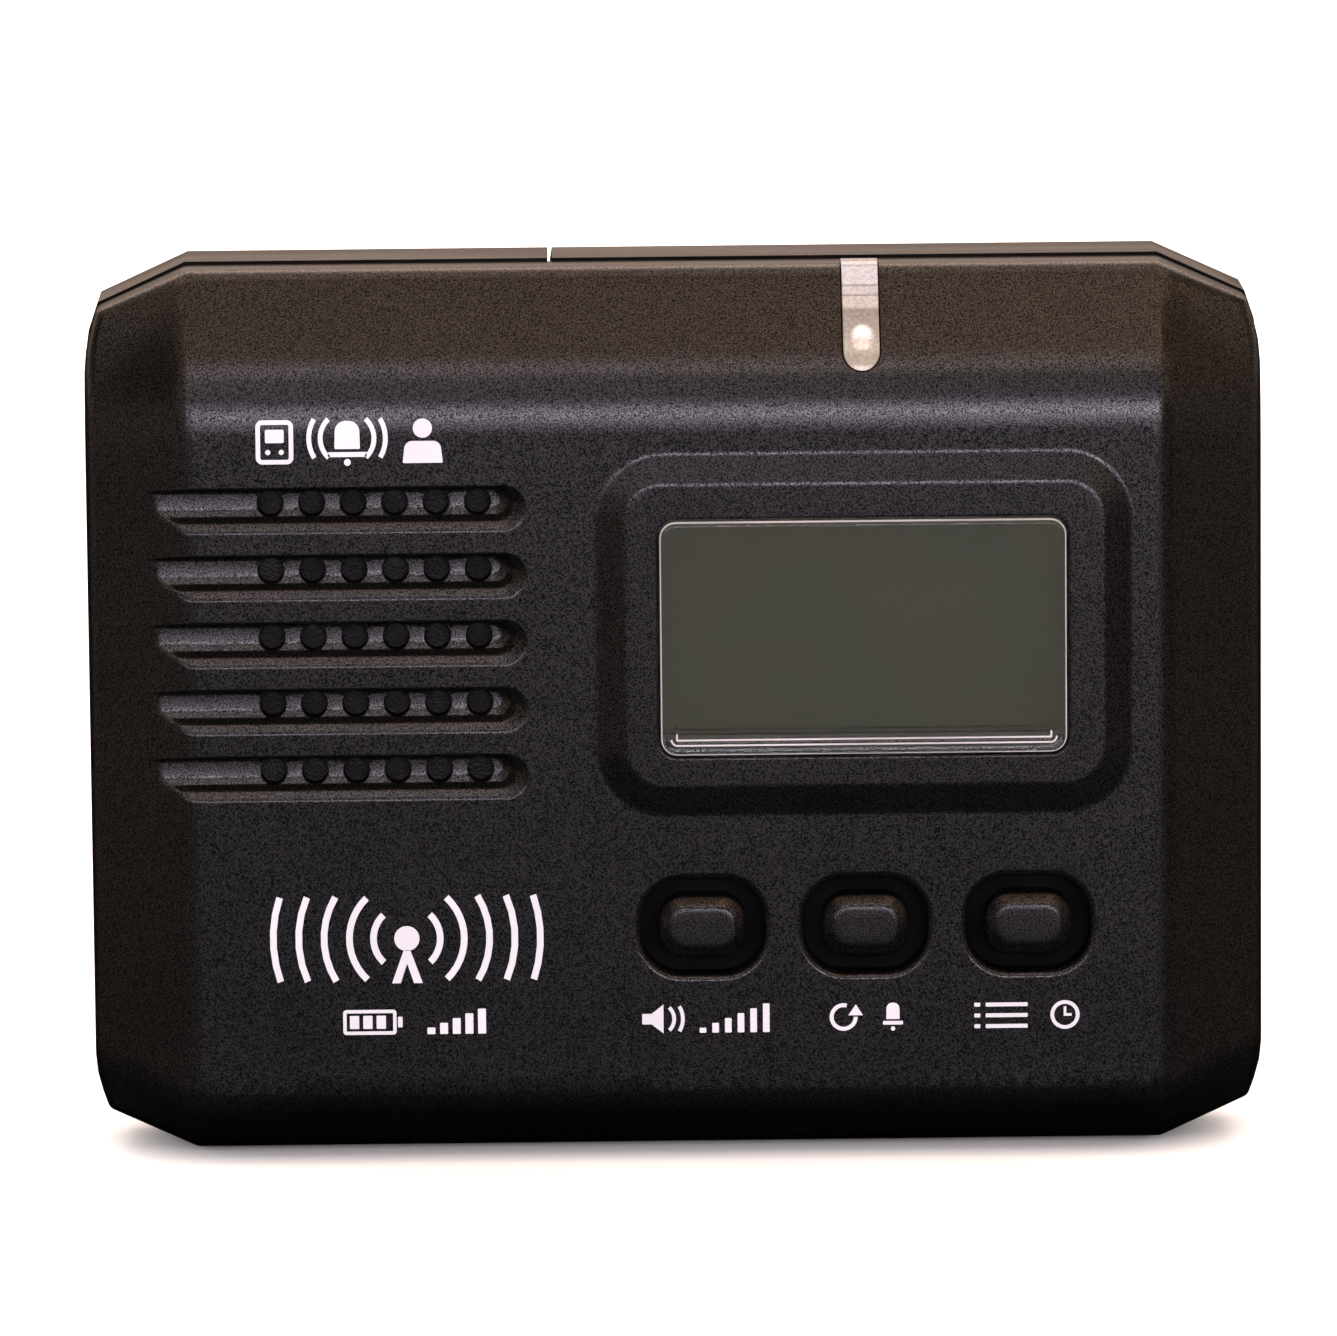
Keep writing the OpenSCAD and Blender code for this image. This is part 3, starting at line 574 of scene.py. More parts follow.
# ------------------------------ lofts
def loft(name, rings, sharp):
    """A closed piece through rounded rectangles (cx, cz, w, h, r, y), creased past an angle."""
    outlines = [rounded(block(*flat), 100) for *flat, _ in rings]
    count = len(outlines[0])
    verts = [(x * MM, y * MM, z * MM) for (*_, y), line in zip(rings, outlines) for x, z in line]
    faces = []
    for k in range(len(rings) - 1):
        a, b = k * count, (k + 1) * count
        faces += [(a + i, b + i, b + (i + 1) % count, a + (i + 1) % count) for i in range(count)]
    faces.append(tuple(range(count)))
    faces.append(tuple(range((len(rings) - 1) * count, len(rings) * count))[::-1])
    mesh = new_mesh(name, verts, faces)
    mesh.update()
    mesh.set_sharp_from_angle(angle=math.radians(sharp))
    return put(name, mesh)


def soften(piece, width):
    """Rounds the edges of a CAD mesh and shades its flats as flats."""
    weld = piece.modifiers.new("weld", "WELD")
    weld.merge_threshold = 0.000004
    planar = piece.modifiers.new("planar", "DECIMATE")
    planar.decimate_type = "DISSOLVE"
    planar.angle_limit = math.radians(0.4)
    bevel = piece.modifiers.new("bevel", "BEVEL")
    bevel.width = width * MM
    bevel.segments = 3
    bevel.limit_method = "ANGLE"
    bevel.angle_limit = math.radians(30)
    bevel.use_clamp_overlap = True
    bevel.harden_normals = True
    piece.data.polygons.foreach_set("use_smooth", [True] * len(piece.data.polygons))


# ------------------------------ materials
def new_material(name):
    """A material with its node tree, its shader and its object coordinates in millimetres."""
    m = bpy.data.materials.new(name)
    m.use_nodes = True
    tree = m.node_tree
    where = tree.nodes.new("ShaderNodeTexCoord")
    scaled = add(tree, "ShaderNodeMapping", Scale=(1 / MM, 1 / MM, 1 / MM))
    link(where.outputs["Object"], scaled.inputs["Vector"])
    return m, tree, tree.nodes["Principled BSDF"], scaled.outputs["Vector"]


def settle(node, values):
    """Sets inputs of a node, or other properties of it, by name."""
    for key, value in values.items():
        if key in node.inputs:
            node.inputs[key].default_value = value
        else:
            setattr(node, key, value)


def add(tree, kind, **values):
    node = tree.nodes.new(kind)
    settle(node, values)
    return node


def link(source, socket):
    socket.id_data.links.new(source, socket)


def spread(tree, source, start, end, low=0.0, high=1.0, kind="LINEAR"):
    """A value that goes from low to high while the source goes from start to end."""
    node = add(tree, "ShaderNodeMapRange", interpolation_type=kind)
    settle(node, {"From Min": start, "From Max": end, "To Min": low, "To Max": high})
    link(source, node.inputs["Value"])
    return node.outputs["Result"]


def tones(tree, source, stops):
    """Colours along a source value; stops are (value, colour) in rising order."""
    node = tree.nodes.new("ShaderNodeValToRGB")
    elements = node.color_ramp.elements
    while len(elements) < len(stops):
        elements.new(0.5)
    for element, (at, colour) in zip(elements, stops):
        element.position = at
        element.color = (*colour, 1)
    link(source, node.inputs["Fac"])
    return node.outputs["Color"]


def noise(tree, where, size, detail, **values):
    """A noise whose patches have the given size in mm."""
    node = add(tree, "ShaderNodeTexNoise", Scale=1 / size, Detail=detail, **values)
    link(where, node.inputs["Vector"])
    return node.outputs["Fac"]


def raise_by(tree, shader, height, strength, distance):
    """Bumps the surface by a height value."""
    bump = add(tree, "ShaderNodeBump", Strength=strength, Distance=distance * MM)
    link(height, bump.inputs["Height"])
    link(bump.outputs["Normal"], shader.inputs["Normal"])


def grain(tree, shader, where, size, strength, distance):
    """A fine moulded or cast texture of the given grain size in mm."""
    raise_by(tree, shader, noise(tree, where, size, 2.0, Roughness=0.55), strength, distance)


def vary(tree, shader, where, name, low, high, size):
    """Drives a colour or value input slowly between low and high across the piece."""
    driver = noise(tree, where, size, 3.0)
    if isinstance(low, float):
        driver = spread(tree, driver, 0.35, 0.65, low, high)
    else:
        driver = tones(tree, driver, [(0.35, low), (0.65, high)])
    link(driver, shader.inputs[name])


def speckle(tree, shader, where, size, low, high, shine=None):
    """Multiplies the colour by a fine grain between low and high, and the shine with it."""
    fleck = noise(tree, where, size, 1.0)
    blend = add(tree, "ShaderNodeMix", data_type="RGBA", blend_type="MULTIPLY")
    blend.inputs[0].default_value = 1.0
    link(shader.inputs["Base Color"].links[0].from_socket, blend.inputs[6])
    link(spread(tree, fleck, 0.36, 0.64, low, high), blend.inputs[7])
    link(blend.outputs[2], shader.inputs["Base Color"])
    if shine:
        link(spread(tree, fleck, 0.36, 0.64, *shine), shader.inputs["Specular IOR Level"])


def plastic(name, low, high, rough=(0.277, 0.29), grain_mm=0.14, bump=0.3, depth=0.012,
            specular=0.5, size=9.0, fleck=None):
    """Moulded plastic, or anything matt: a colour between low and high, and a fine grain."""
    m, *made = new_material(name)
    vary(*made, "Base Color", low, high, size)
    vary(*made, "Roughness", *rough, 4.0)
    settle(made[1], {"Specular IOR Level": specular})
    grain(*made, grain_mm, bump, depth)
    if fleck:
        speckle(*made, *fleck)
    return m


def metal(name, low, high, rough=(0.25, 0.4)):
    m, *made = new_material(name)
    vary(*made, "Base Color", low, high, 1.5)
    vary(*made, "Roughness", *rough, 0.8)
    settle(made[1], {"Metallic": 1.0})
    grain(*made, 0.3, 0.1, 0.01)
    return m


def lens_material():
    """Clear plastic, whose low index keeps the room's image in the window faint."""
    m, *made = new_material("clear_lens")
    settle(made[1], {"Base Color": (0.96, 0.98, 0.96, 1), "Transmission Weight": 1.0, "IOR": 1.28})
    vary(*made, "Roughness", 0.02, 0.04, 2.0)
    grain(*made, 0.8, 0.03, 0.01)
    return m


# colours up the light pipe, from its foot (0) to 8 mm above it (1), with light and shade painted in: a
# painted highlight at its foot, tan where the inside shows through, painted shade along its two moulded
# lines and two thin dark lines near its top
PIPE_TONES_AND_PAINTED_LIGHT = (
    (0.0, (0.62, 0.56, 0.50)), (0.035, (0.60, 0.54, 0.48)), (0.06, (0.33, 0.29, 0.23)),
    (0.13, (0.34, 0.30, 0.25)), (0.2, (0.42, 0.38, 0.33)), (0.4, (0.32, 0.28, 0.25)),
    (0.53, (0.27, 0.24, 0.215)), (0.565, (0.52, 0.46, 0.42)), (0.645, (0.55, 0.49, 0.46)),
    (0.656, (0.26, 0.22, 0.21)), (0.67, (0.50, 0.45, 0.44)), (0.728, (0.54, 0.50, 0.50)),
    (0.743, (0.28, 0.25, 0.26)), (0.757, (0.58, 0.54, 0.56)), (0.9, (0.60, 0.56, 0.59)),
    (0.912, (0.40, 0.36, 0.38)), (0.924, (0.60, 0.56, 0.58)), (0.947, (0.42, 0.38, 0.40)),
    (0.96, (0.62, 0.58, 0.60)))
# colours of the painted highlight of the lamp's dome, from below its middle (0) to above it (1)
LAMP_HIGHLIGHT_STOPS = ((0.0, (0.42, 0.35, 0.28)), (0.2, (0.62, 0.55, 0.45)), (0.45, (0.42, 0.38, 0.34)),
              (1.0, (1.0, 1.0, 1.0)))


def pipe_material():
    """Frosted clear plastic with light and shade painted into its colour: pale at its foot as a painted
    highlight, tan lower down, and a painted highlight of the lamp's dome behind it.
    """
    m, *made = new_material("frosted_pipe")
    tree, shader, where = made
    parts = tree.nodes.new("ShaderNodeSeparateXYZ")
    link(where, parts.inputs[0])
    height = spread(tree, parts.outputs["Z"], PIPE_END, PIPE_END + 8)
    body = tones(tree, height, [(at, [PIPE_TONE * c for c in rgb]) for at, rgb in PIPE_TONES_AND_PAINTED_LIGHT])
    # the lamp's dome as a painted highlight: an oval patch, brightest towards its top
    lamp_x, lamp_z, half_x, half_z = LAMP_HIGHLIGHT_AT
    oval = add(tree, "ShaderNodeMapping", Location=(-lamp_x / half_x, 0, -lamp_z / half_z),
               Scale=(1 / half_x, 0, 1 / half_z))
    link(where, oval.inputs["Vector"])
    reach = add(tree, "ShaderNodeVectorMath", operation="LENGTH")
    link(oval.outputs["Vector"], reach.inputs[0])
    up = spread(tree, parts.outputs["Z"], lamp_z - 1, lamp_z + 0.9)
    blend = add(tree, "ShaderNodeMix", data_type="RGBA")
    link(spread(tree, reach.outputs["Value"], 1.05, 0.45, kind="SMOOTHSTEP"), blend.inputs[0])
    link(body, blend.inputs[6])
    link(tones(tree, up, LAMP_HIGHLIGHT_STOPS), blend.inputs[7])
    link(blend.outputs[2], shader.inputs["Base Color"])
    settle(shader, {"Transmission Weight": 0.15})
    vary(*made, "Roughness", 0.14, 0.24, 1.0)
    grain(*made, 0.5, 0.08, 0.01)
    speckle(*made, 0.25, 0.85, 1.12)
    return m


def board_material(name, low, high):
    """Solder mask over tracks: a slightly raised grid of lines under a green or blue coat."""
    m, *made = new_material(name)
    tree, shader, where = made
    vary(*made, "Base Color", low, high, 1.2)
    settle(shader, {"Roughness": 0.35, "Coat Weight": 0.4})
    bricks = add(tree, "ShaderNodeTexBrick", Scale=0.6)
    link(where, bricks.inputs["Vector"])
    raise_by(tree, shader, bricks.outputs["Fac"], 0.4, 0.03)
    return m


def display_material():
    """Grey-green display glass with a faint shimmer."""
    m, *made = new_material("display_glass")
    vary(*made, "Base Color", (0.0120, 0.0158, 0.0100), (0.0152, 0.0165, 0.0082), 9.0)
    vary(*made, "Roughness", 0.16, 0.22, 5.0)
    settle(made[1], {"Specular IOR Level": 0.08})
    grain(*made, 0.35, 0.02, 0.004)
    speckle(*made, 0.14, 0.8, 1.2)
    return m


GRAIN = (0.11, 0.25, 1.7, (0.1, 0.78))      # fleck size in mm, darkest and palest share, shine
BLACK = plastic("black_abs", (0.0021, 0.0020, 0.0020), (0.0027, 0.0025, 0.0025), fleck=GRAIN)
BUTTON_BLACK = plastic("button_black", (0.0019, 0.0018, 0.0018), (0.0025, 0.0023, 0.0023),
                       rough=(0.29, 0.33), fleck=GRAIN)
# painted light: a lighter copy of the black plastic for the rear shell and battery door, which few
# lamps reach
REAR_BLACK_PAINTED_LIGHT = plastic("rear_black_painted_light", (0.0050, 0.0048, 0.0048), (0.0062, 0.0060, 0.0060),
                     rough=(0.30, 0.34), fleck=GRAIN)
# painted light: a still lighter copy of the black plastic for the clip, with its own rougher grain
CLIP_BLACK_PAINTED_LIGHT = plastic("clip_black_painted_light", (0.0075, 0.0072, 0.0072), (0.0095, 0.0092, 0.0092),
                     rough=(0.36, 0.44), grain_mm=0.25, fleck=GRAIN)
# painted shade: a darker, matt copy of the black plastic for recess walls and hidden faces
SHADE_BLACK = plastic("painted_shade_black", (0.0008, 0.0008, 0.0008), (0.0012, 0.0012, 0.0012),
                     rough=(0.55, 0.7), specular=0.08)
LENS = lens_material()
PIPE = pipe_material()
GLASS = display_material()
# painted highlight: a pale grey standing in for the glints along the window's edge and ledges
LEDGE_HIGHLIGHT = plastic("ledge_painted_highlight", (0.30, 0.28, 0.29), (0.42, 0.40, 0.41), rough=(0.1, 0.16), bump=0.02)
CLOTH = plastic("woven_cloth", (0.0003, 0.0003, 0.0003), (0.0042, 0.0042, 0.0044), rough=(0.4, 0.6),
                grain_mm=0.2, bump=1.0, depth=0.08, specular=0.2, size=0.3)
INK = plastic("white_ink", (0.41, 0.405, 0.45), (0.455, 0.45, 0.50), rough=(0.5, 0.6),
              grain_mm=0.08, bump=0.15)
RUBBER = plastic("soft_rubber", (0.012, 0.012, 0.012), (0.02, 0.02, 0.02), rough=(0.7, 0.85))
WIRE = (0.4, 0.5)
SLOT_MATERIALS = {
    "case_plastic": BLACK,
    "button_plastic": BUTTON_BLACK,
    "clear_plastic": LENS,
    "lcd_glass": GLASS,
    "reflector_film": plastic("grey_film", (0.5, 0.5, 0.48), (0.6, 0.6, 0.58), rough=(0.3, 0.4)),
    "white_plastic": plastic("natural_nylon", (0.6, 0.6, 0.56), (0.68, 0.68, 0.63), rough=(0.4, 0.5)),
    "zebra_rubber": plastic("striped_elastomer", (0.25, 0.1, 0.14), (0.32, 0.14, 0.18),
                            rough=(0.6, 0.7)),
    "circuit_board": board_material("green_mask", (0.012, 0.09, 0.03), (0.018, 0.13, 0.045)),
    "rf_circuit_board": board_material("blue_mask", (0.01, 0.04, 0.13), (0.015, 0.06, 0.18)),
    "chip_plastic": plastic("chip_epoxy", (0.012, 0.012, 0.013), (0.02, 0.02, 0.021),
                            rough=(0.5, 0.65)),
    "smd_ceramic": plastic("ceramic_parts", (0.2, 0.13, 0.06), (0.3, 0.2, 0.1), rough=(0.4, 0.5)),
    "steel": metal("zinc_steel", (0.55, 0.56, 0.58), (0.66, 0.67, 0.69)),
    "black_steel": metal("black_oxide", (0.03, 0.03, 0.032), (0.06, 0.06, 0.065), (0.35, 0.5)),
    "aluminium_can": metal("drawn_can", (0.65, 0.66, 0.68), (0.75, 0.76, 0.78)),
    "copper_wire": metal("enamelled_copper", (0.6, 0.25, 0.1), (0.75, 0.33, 0.14)),
    "nickel": metal("nickel_spring", (0.6, 0.59, 0.56), (0.7, 0.69, 0.66)),
    "tungsten": metal("sintered_weight", (0.2, 0.2, 0.21), (0.3, 0.3, 0.31), (0.45, 0.6)),
    "soft_rubber": RUBBER,
    "speaker_paper": plastic("cone_paper", (0.012, 0.012, 0.013), (0.025, 0.025, 0.026),
                             rough=(0.7, 0.9), grain_mm=0.3, bump=0.6),
    "magnet_steel": metal("magnet_steel", (0.4, 0.4, 0.42), (0.5, 0.5, 0.52)),
    "lamp_epoxy": plastic("lamp_epoxy", (0.82, 0.78, 0.74), (0.9, 0.86, 0.82), rough=(0.12, 0.2),
                          bump=0.02),
    "cell_wrap": plastic("cell_wrap", (0.35, 0.13, 0.02), (0.42, 0.17, 0.03), rough=(0.2, 0.3),
                         bump=0.05),
    "red_insulation": plastic("red_insulation", (0.35, 0.01, 0.01), (0.45, 0.02, 0.015), rough=WIRE),
    "black_insulation": plastic("black_insulation", (0.01, 0.01, 0.01), (0.02, 0.02, 0.02), rough=WIRE),
    "blue_insulation": plastic("blue_insulation", (0.01, 0.03, 0.25), (0.02, 0.05, 0.35), rough=WIRE),
}


def paint(piece, material):
    piece.data.materials.clear()
    piece.data.materials.append(material)
    piece.data.polygons.foreach_set("material_index", [0] * len(piece.data.polygons))


for part in frame["record"]["subparts"]:
    paint(nodes[part["node"]], SLOT_MATERIALS[part["material_slot"]])
# painted light: the clip, the rear shell and the battery door take the lighter copies of the black
# plastic
paint(nodes["clip_arm"], CLIP_BLACK_PAINTED_LIGHT)
for name in ("rear_shell", "battery_door"):
    paint(nodes[name], REAR_BLACK_PAINTED_LIGHT)


def finish_piece(piece, body, slot, material, *replaced):
    paint(piece, material)
    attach(piece, body)
    if replaced:
        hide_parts(*replaced)
    return piece


def darken(piece, chosen):
    """Paints shade: gives the darker black to the faces chosen by the Y of their normal and their
    depth.
    """
    piece.data.materials.append(SHADE_BLACK)
    for face in piece.data.polygons:
        if chosen(face.normal.y, -face.center.y / MM):
            face.material_index = 1


# ------------------------------ pieces
shell = finish_piece(make_front_shell(), "case", "case_plastic", BLACK, "front_shell")
# painted shade: the steep walls of the pockets and holes take the darker black
darken(shell, lambda facing, depth: depth > 4 and abs(facing) < 0.15)


def make_cap(name):
    """A button cap with rounded shoulders, its retaining flange and its stem."""
    cx, _, cz = BUTTONS[name]
    low, high = node_box(name)
    top, end = low[1], high[1]
    w, h, r = CAP
    flange_w, flange_h, flange_r = FLANGE
    back, front_y = FLANGE_Y
    chamfered = (flange_w - 0.1, flange_h - 0.1, flange_r)
    sizes = [(0.8, 0.6, 0.25, end), (*STEM, end), (*STEM, back - 0.02), (*chamfered, back),
             (*FLANGE, back - 0.07), (*FLANGE, front_y + 0.1), (*chamfered, front_y),
             (w, h, r, front_y - 0.01), (w, h, r, top + 0.72)]
    # side wall, then the rounded bevel up to the face
    for drop, behind in ((0.06, 0.6), (0.62, 0.16), (0.74, 0.07), (0.9, 0.015), (1.15, 0.0)):
        sizes.append((w - 2 * drop, h - 2 * drop, max(r - drop * 0.8, 0.3), top + behind))
    sizes.append(((w - 2.4) / 2, (h - 2.4) / 2, 0.3, top))
    return loft(name + "_cap", [(cx, cz, *size) for size in reversed(sizes)], 34)


for button in BUTTONS:
    cap = finish_piece(make_cap(button), button.split("_")[0], "button_plastic", BUTTON_BLACK, button)
    # painted shade: all but the part that shows takes the darker black
    darken(cap, lambda facing, depth: depth < 8.4)


LENS_EDGE = (WINDOW[0], WINDOW[1], WINDOW[2] - 0.3, WINDOW[3] - 0.3, 1.25)
LENS_RIM = 0.4
LEDGES = (0.80, 1.20)       # two fine ledges along the bottom of the window, coloured pale as painted highlights
LEDGE_W = 0.12


def lens_out(x, z):
    """The face of the window, with its rounded rim."""
    return -lens_low[1] - fillet(-box_gap(x, z, *LENS_EDGE), LENS_RIM)


def make_lens():
    """The window: a clear block with a rounded rim, closed behind by its flat back."""
    corners = block(*LENS_EDGE)
    edge = rounded(corners, 0.8)
    loops = [edge] + rolled(corners, LENS_RIM, (12, 24, 38, 52, 66, 80, 90), 0.8)
    loose = clear_of(grid(lens_low[0], lens_high[0], lens_low[2], lens_high[2], 2.0, 2.0), loops, 0.4)
    loose = within(loose, rounded(inset(corners, 0.3), 1))
    points, faces = triangulate([edge], loops, (), loose)
    return relief("window_lens", points, faces, lens_out, lambda x, z: np.full_like(x, -lens_high[1]))


finish_piece(make_lens(), "case", "clear_plastic", LENS, "display_lens")


def make_ledges():
    """The window's edge and two fine ledges that follow its bottom and corners, in a pale colour as
    painted highlights.
    """
    bottom = LENS_EDGE[1] - LENS_EDGE[3] / 2
    loops = []
    for c in LEDGES:
        sides = [rounded(inset(block(*LENS_EDGE), c + s), 0.4) for s in (-LEDGE_W / 2, LEDGE_W / 2)]
        low = []
        for line in sides:
            part = line[line[:, 1] < bottom + c + 0.75]
            low.append(part[np.argsort(np.arctan2(part[:, 1] - bottom - 9, part[:, 0] - LENS_EDGE[0]))])
        loops.append(np.concatenate([low[0], low[1][::-1]]))
    loops += [rounded(inset(block(*LENS_EDGE), s), 0.6) for s in (0.03, 0.12)]
    points, faces = triangulate(loops, loops)
    return relief("window_ledges", points, faces, lambda x, z: lens_out(x, z) + 0.02,
                  lambda x, z: lens_out(x, z) - 0.15)


# the window's edge and ledges, painted pale as highlights
finish_piece(make_ledges(), "case", "clear_plastic", LEDGE_HIGHLIGHT)


def make_cloth():
    """The dust cloth glued behind the sound holes."""
    (x0, x1), (z0, z1) = CLOTH_X, CLOTH_Z
    edge = rounded([(x1, z0, 1), (x1, z1, 1), (x0, z1, 1), (x0, z0, 1)], 1.5)
    loose = clear_of(grid(x0 + 0.2, x1 - 0.3, z0 + 0.4, z1 - 0.2, 1.5, 1.5), [edge], 0.8)
    points, faces = triangulate([edge], [edge], (), loose)

    def weave(x, z):
        return CLOTH_D + 0.055 + 0.008 * np.sin(x * 5) * np.sin(z * 5)
    return relief("dust_cloth", points, faces, weave, lambda x, z: np.full_like(x, CLOTH_D))


finish_piece(make_cloth(), "case", "speaker_paper", CLOTH)


def make_mask():
    """A black strip behind the window that hides the lower edge of the display."""
    cx, cz, w, h, _ = LENS_EDGE
    z0, z1 = cz - h / 2 - 0.1, cz - h / 2 + 1.2
    middle, tall = (z0 + z1) / 2, z1 - z0
    rings = [(cx, middle, w - 0.1, tall - 0.1, 0.1, -8.13), (cx, middle, w, tall, 0.12, -8.11),
             (cx, middle, w, tall, 0.12, -8.05), (cx, middle, w - 0.1, tall - 0.1, 0.1, -8.03)]
    return loft("display_mask", rings, 30)


finish_piece(make_mask(), "case", "soft_rubber", RUBBER)


def pipe_out(x, z):
    """The face of the light pipe, just proud of the shell, with its two moulded lines."""
    rise = 0.3 - fillet(-slot_gap(x, z, PIPE_W - 2 * PIPE_FIT), 0.16)
    for line in PIPE_LINES:
        rise = rise - 0.05 * np.exp(-((z - line) / 0.08) ** 2)
    return base(x, z) - fillet(np.minimum(PIPE_TOP - z, 5), RIM_R) + rise


def pipe_in(x, z):
    return base(x, z) - PIPE_SINK + 0.12


def make_pipe():
    r = PIPE_W / 2 - PIPE_FIT
    edge, *inner = (tongue(r - s, PIPE_TOP - s, 25, 0.3, True) for s in (0, 0.012, 0.045, 0.09, 0.16))
    lines = [divided(np.array([(PIPE_X - r + 0.32, n + d), (PIPE_X + r - 0.32, n + d)]), 0.3)
             for n in PIPE_LINES for d in (-0.16, -0.08, 0, 0.08, 0.16)]
    loops = [edge, *inner]
    loose = grid(PIPE_X - r, PIPE_X + r, PIPE_END, PIPE_TOP, 0.3, 0.3)
    loose = within(clear_of(loose, loops + lines, 0.16), tongue(r - 0.1, PIPE_TOP - 0.1, 25, 0.3, True))
    points, faces = triangulate([edge], loops, lines, loose)
    return relief("light_pipe_clear", points, faces, pipe_out, pipe_in)


finish_piece(make_pipe(), "case", "clear_plastic", PIPE, "light_pipe")

for name, width in (("rear_shell", 0.1), ("battery_door", 0.12), ("clip_arm", 0.4),
                    ("case_screws", 0.08), ("clip_pin", 0.1)):
    soften(nodes[name], width)
# painted shade on the land that meets the front shell, where the parting line shows dark
darken(nodes["rear_shell"], lambda facing, depth: facing < -0.9)


# ------------------------------ prints
def bar(x0, x1, z0, z1, r=0.1):
    return rounded(block((x0 + x1) / 2, (z0 + z1) / 2, x1 - x0, z1 - z0, r), 0.4)


def band(cx, cz, radius, width, a0, a1):
    """An arc of constant width with flat ends."""
    count = max(6, int(abs(a1 - a0) / 7))
    outer = arc(cx, cz, radius + width / 2, a0, a1, count)
    inner = arc(cx, cz, radius - width / 2, a0, a1, count)
    return np.concatenate([outer, inner[::-1]])


def poly(*points):
    return divided(np.array(points), 0.4, closed=True)


def print_mark(name, x, z, *shapes):
    """White ink laid on the front shell, its shapes drawn about (x, z)."""
    loops = [shape + (x, z) for shape in shapes]
    points, faces = triangulate(loops, loops)
    piece = relief(name, points, faces, lambda x, z: base(x, z) + PRINT_H,
                   lambda x, z: base(x, z) - 0.1)
    finish_piece(piece, "case", "white_plastic", INK)


def frame_of(x0, x1, z0, z1, width, r):
    """A rounded rectangle drawn as a line of the given width."""
    return [bar(x0, x1, z0, z1, r),
            bar(x0 + width, x1 - width, z0 + width, z1 - width, max(r - width, 0.05))]


def bell(x, z):
    """A bell with its rim and clapper."""
    return [rounded([(x + 0.95, z - 0.85, 0.1), (x + 0.9, z + 1.25, 0.8), (x - 0.9, z + 1.25, 0.8),
                     (x - 0.95, z - 0.85, 0.1)], 0.3),
            bar(x - 1.45, x + 1.45, z - 1.45, z - 1.08), ring(x, z - 1.85, 0.26, 12)]


def waves(x, z, radii, width, height, sides=(0, 180)):
    """Arcs on both sides of a point, all cut off at the same height."""
    return [band(x, z, r, width, side - a, side + a) for side in sides for r in radii
            for a in [math.degrees(math.asin(min(height / r, 0.72)))]]


# over the grooves: a pocket receiver, a ringing bell and a person
print_mark("print_receiver", -29.7, ICON_Z, *frame_of(-1.4, 1.4, -1.6, 1.7, 0.34, 0.5),
           bar(-0.7, 0.7, 0, 1), ring(-0.5, -0.7, 0.2, 10), ring(0.5, -0.7, 0.2, 10))
print_mark("print_alert", -24.3, ICON_Z, *bell(0, 0.35), *waves(0, 0.3, (2.0, 2.85), 0.36, 1.45))
print_mark("print_call", -18.7, ICON_Z, ring(0, 1, 0.72, 18),
           rounded([(1.5, -1.6, 0.1), (1.3, 0.05, 0.6), (-1.3, 0.05, 0.6), (-1.5, -1.6, 0.1)], 0.3))

# under the buttons: a loudspeaker with rising bars, a bell that turns back, a list with a clock
volume_x, reset_x, review_x = (centre[0] for centre in BUTTONS.values())
print_mark("print_volume", volume_x, LABEL_Z,
           poly((-4.6, -0.4), (-3.9, -0.4), (-3.0, -1.1), (-3.0, 1.1), (-3.9, 0.4), (-4.6, 0.4)),
           *waves(-3.4, 0, (1.2, 1.85), 0.28, 0.95, (0,)),
           *(bar(-0.3 + k * 0.95, 0.2 + k * 0.95, -1.08, -0.7 + k * 0.36, 0.06) for k in range(6)))
print_mark("print_reset", reset_x, LABEL_Z, band(-1.7, 0, 0.9, 0.3, 75, 360),
           poly((-1.35, 0.12), (-0.25, 0.12), (-0.78, 0.95)), bar(1.25, 2.75, -0.62, -0.34, 0.06),
           rounded([(2.5, -0.2, 0.05), (2.48, 1.05, 0.45), (1.52, 1.05, 0.45), (1.5, -0.2, 0.05)], 0.3),
           ring(2.0, -0.92, 0.17, 10))
print_mark("print_review", review_x, LABEL_Z,
           *(bar(x0, x1, z - 0.15, z + 0.15, 0.06)
             for z in (-0.82, 0, 0.82) for x0, x1 in ((-4.1, -3.65), (-3.25, -0.1))),
           ring(2.7, 0, 1.1, 24), ring(2.7, 0, 0.82, 22),
           poly((2.6, -0.1), (3.2, -0.1), (3.2, 0.1), (2.8, 0.1), (2.8, 0.62), (2.6, 0.62)))

# lower left: an aerial with waves to both sides, over a battery and signal bars
print_mark("print_radio", MARK_X, 17.1, ring(0, 0, 0.95, 24),
           poly((-0.25, -0.9), (-1.15, -3.4), (-0.5, -3.4), (0, -1.9), (0.5, -3.4), (1.15, -3.4),
                (0.25, -0.9)),
           *waves(0, 0, (2.5, 4.3, 6.2, 8.1, 10.0), 0.5, 3.2))
print_mark("print_power", MARK_X, 9.8, *frame_of(-4.85, -0.85, 0, 1.9, 0.26, 0.25),
           *(bar(-4.35 + k, -3.65 + k, 0.45, 1.45, 0.05) for k in range(3)),
           bar(-0.75, -0.4, 0.55, 1.35, 0.05),
           *(bar(1.45 + k * 0.95, 2.05 + k * 0.95, 0, 0.5 + k * 0.35, 0.06) for k in range(5)))


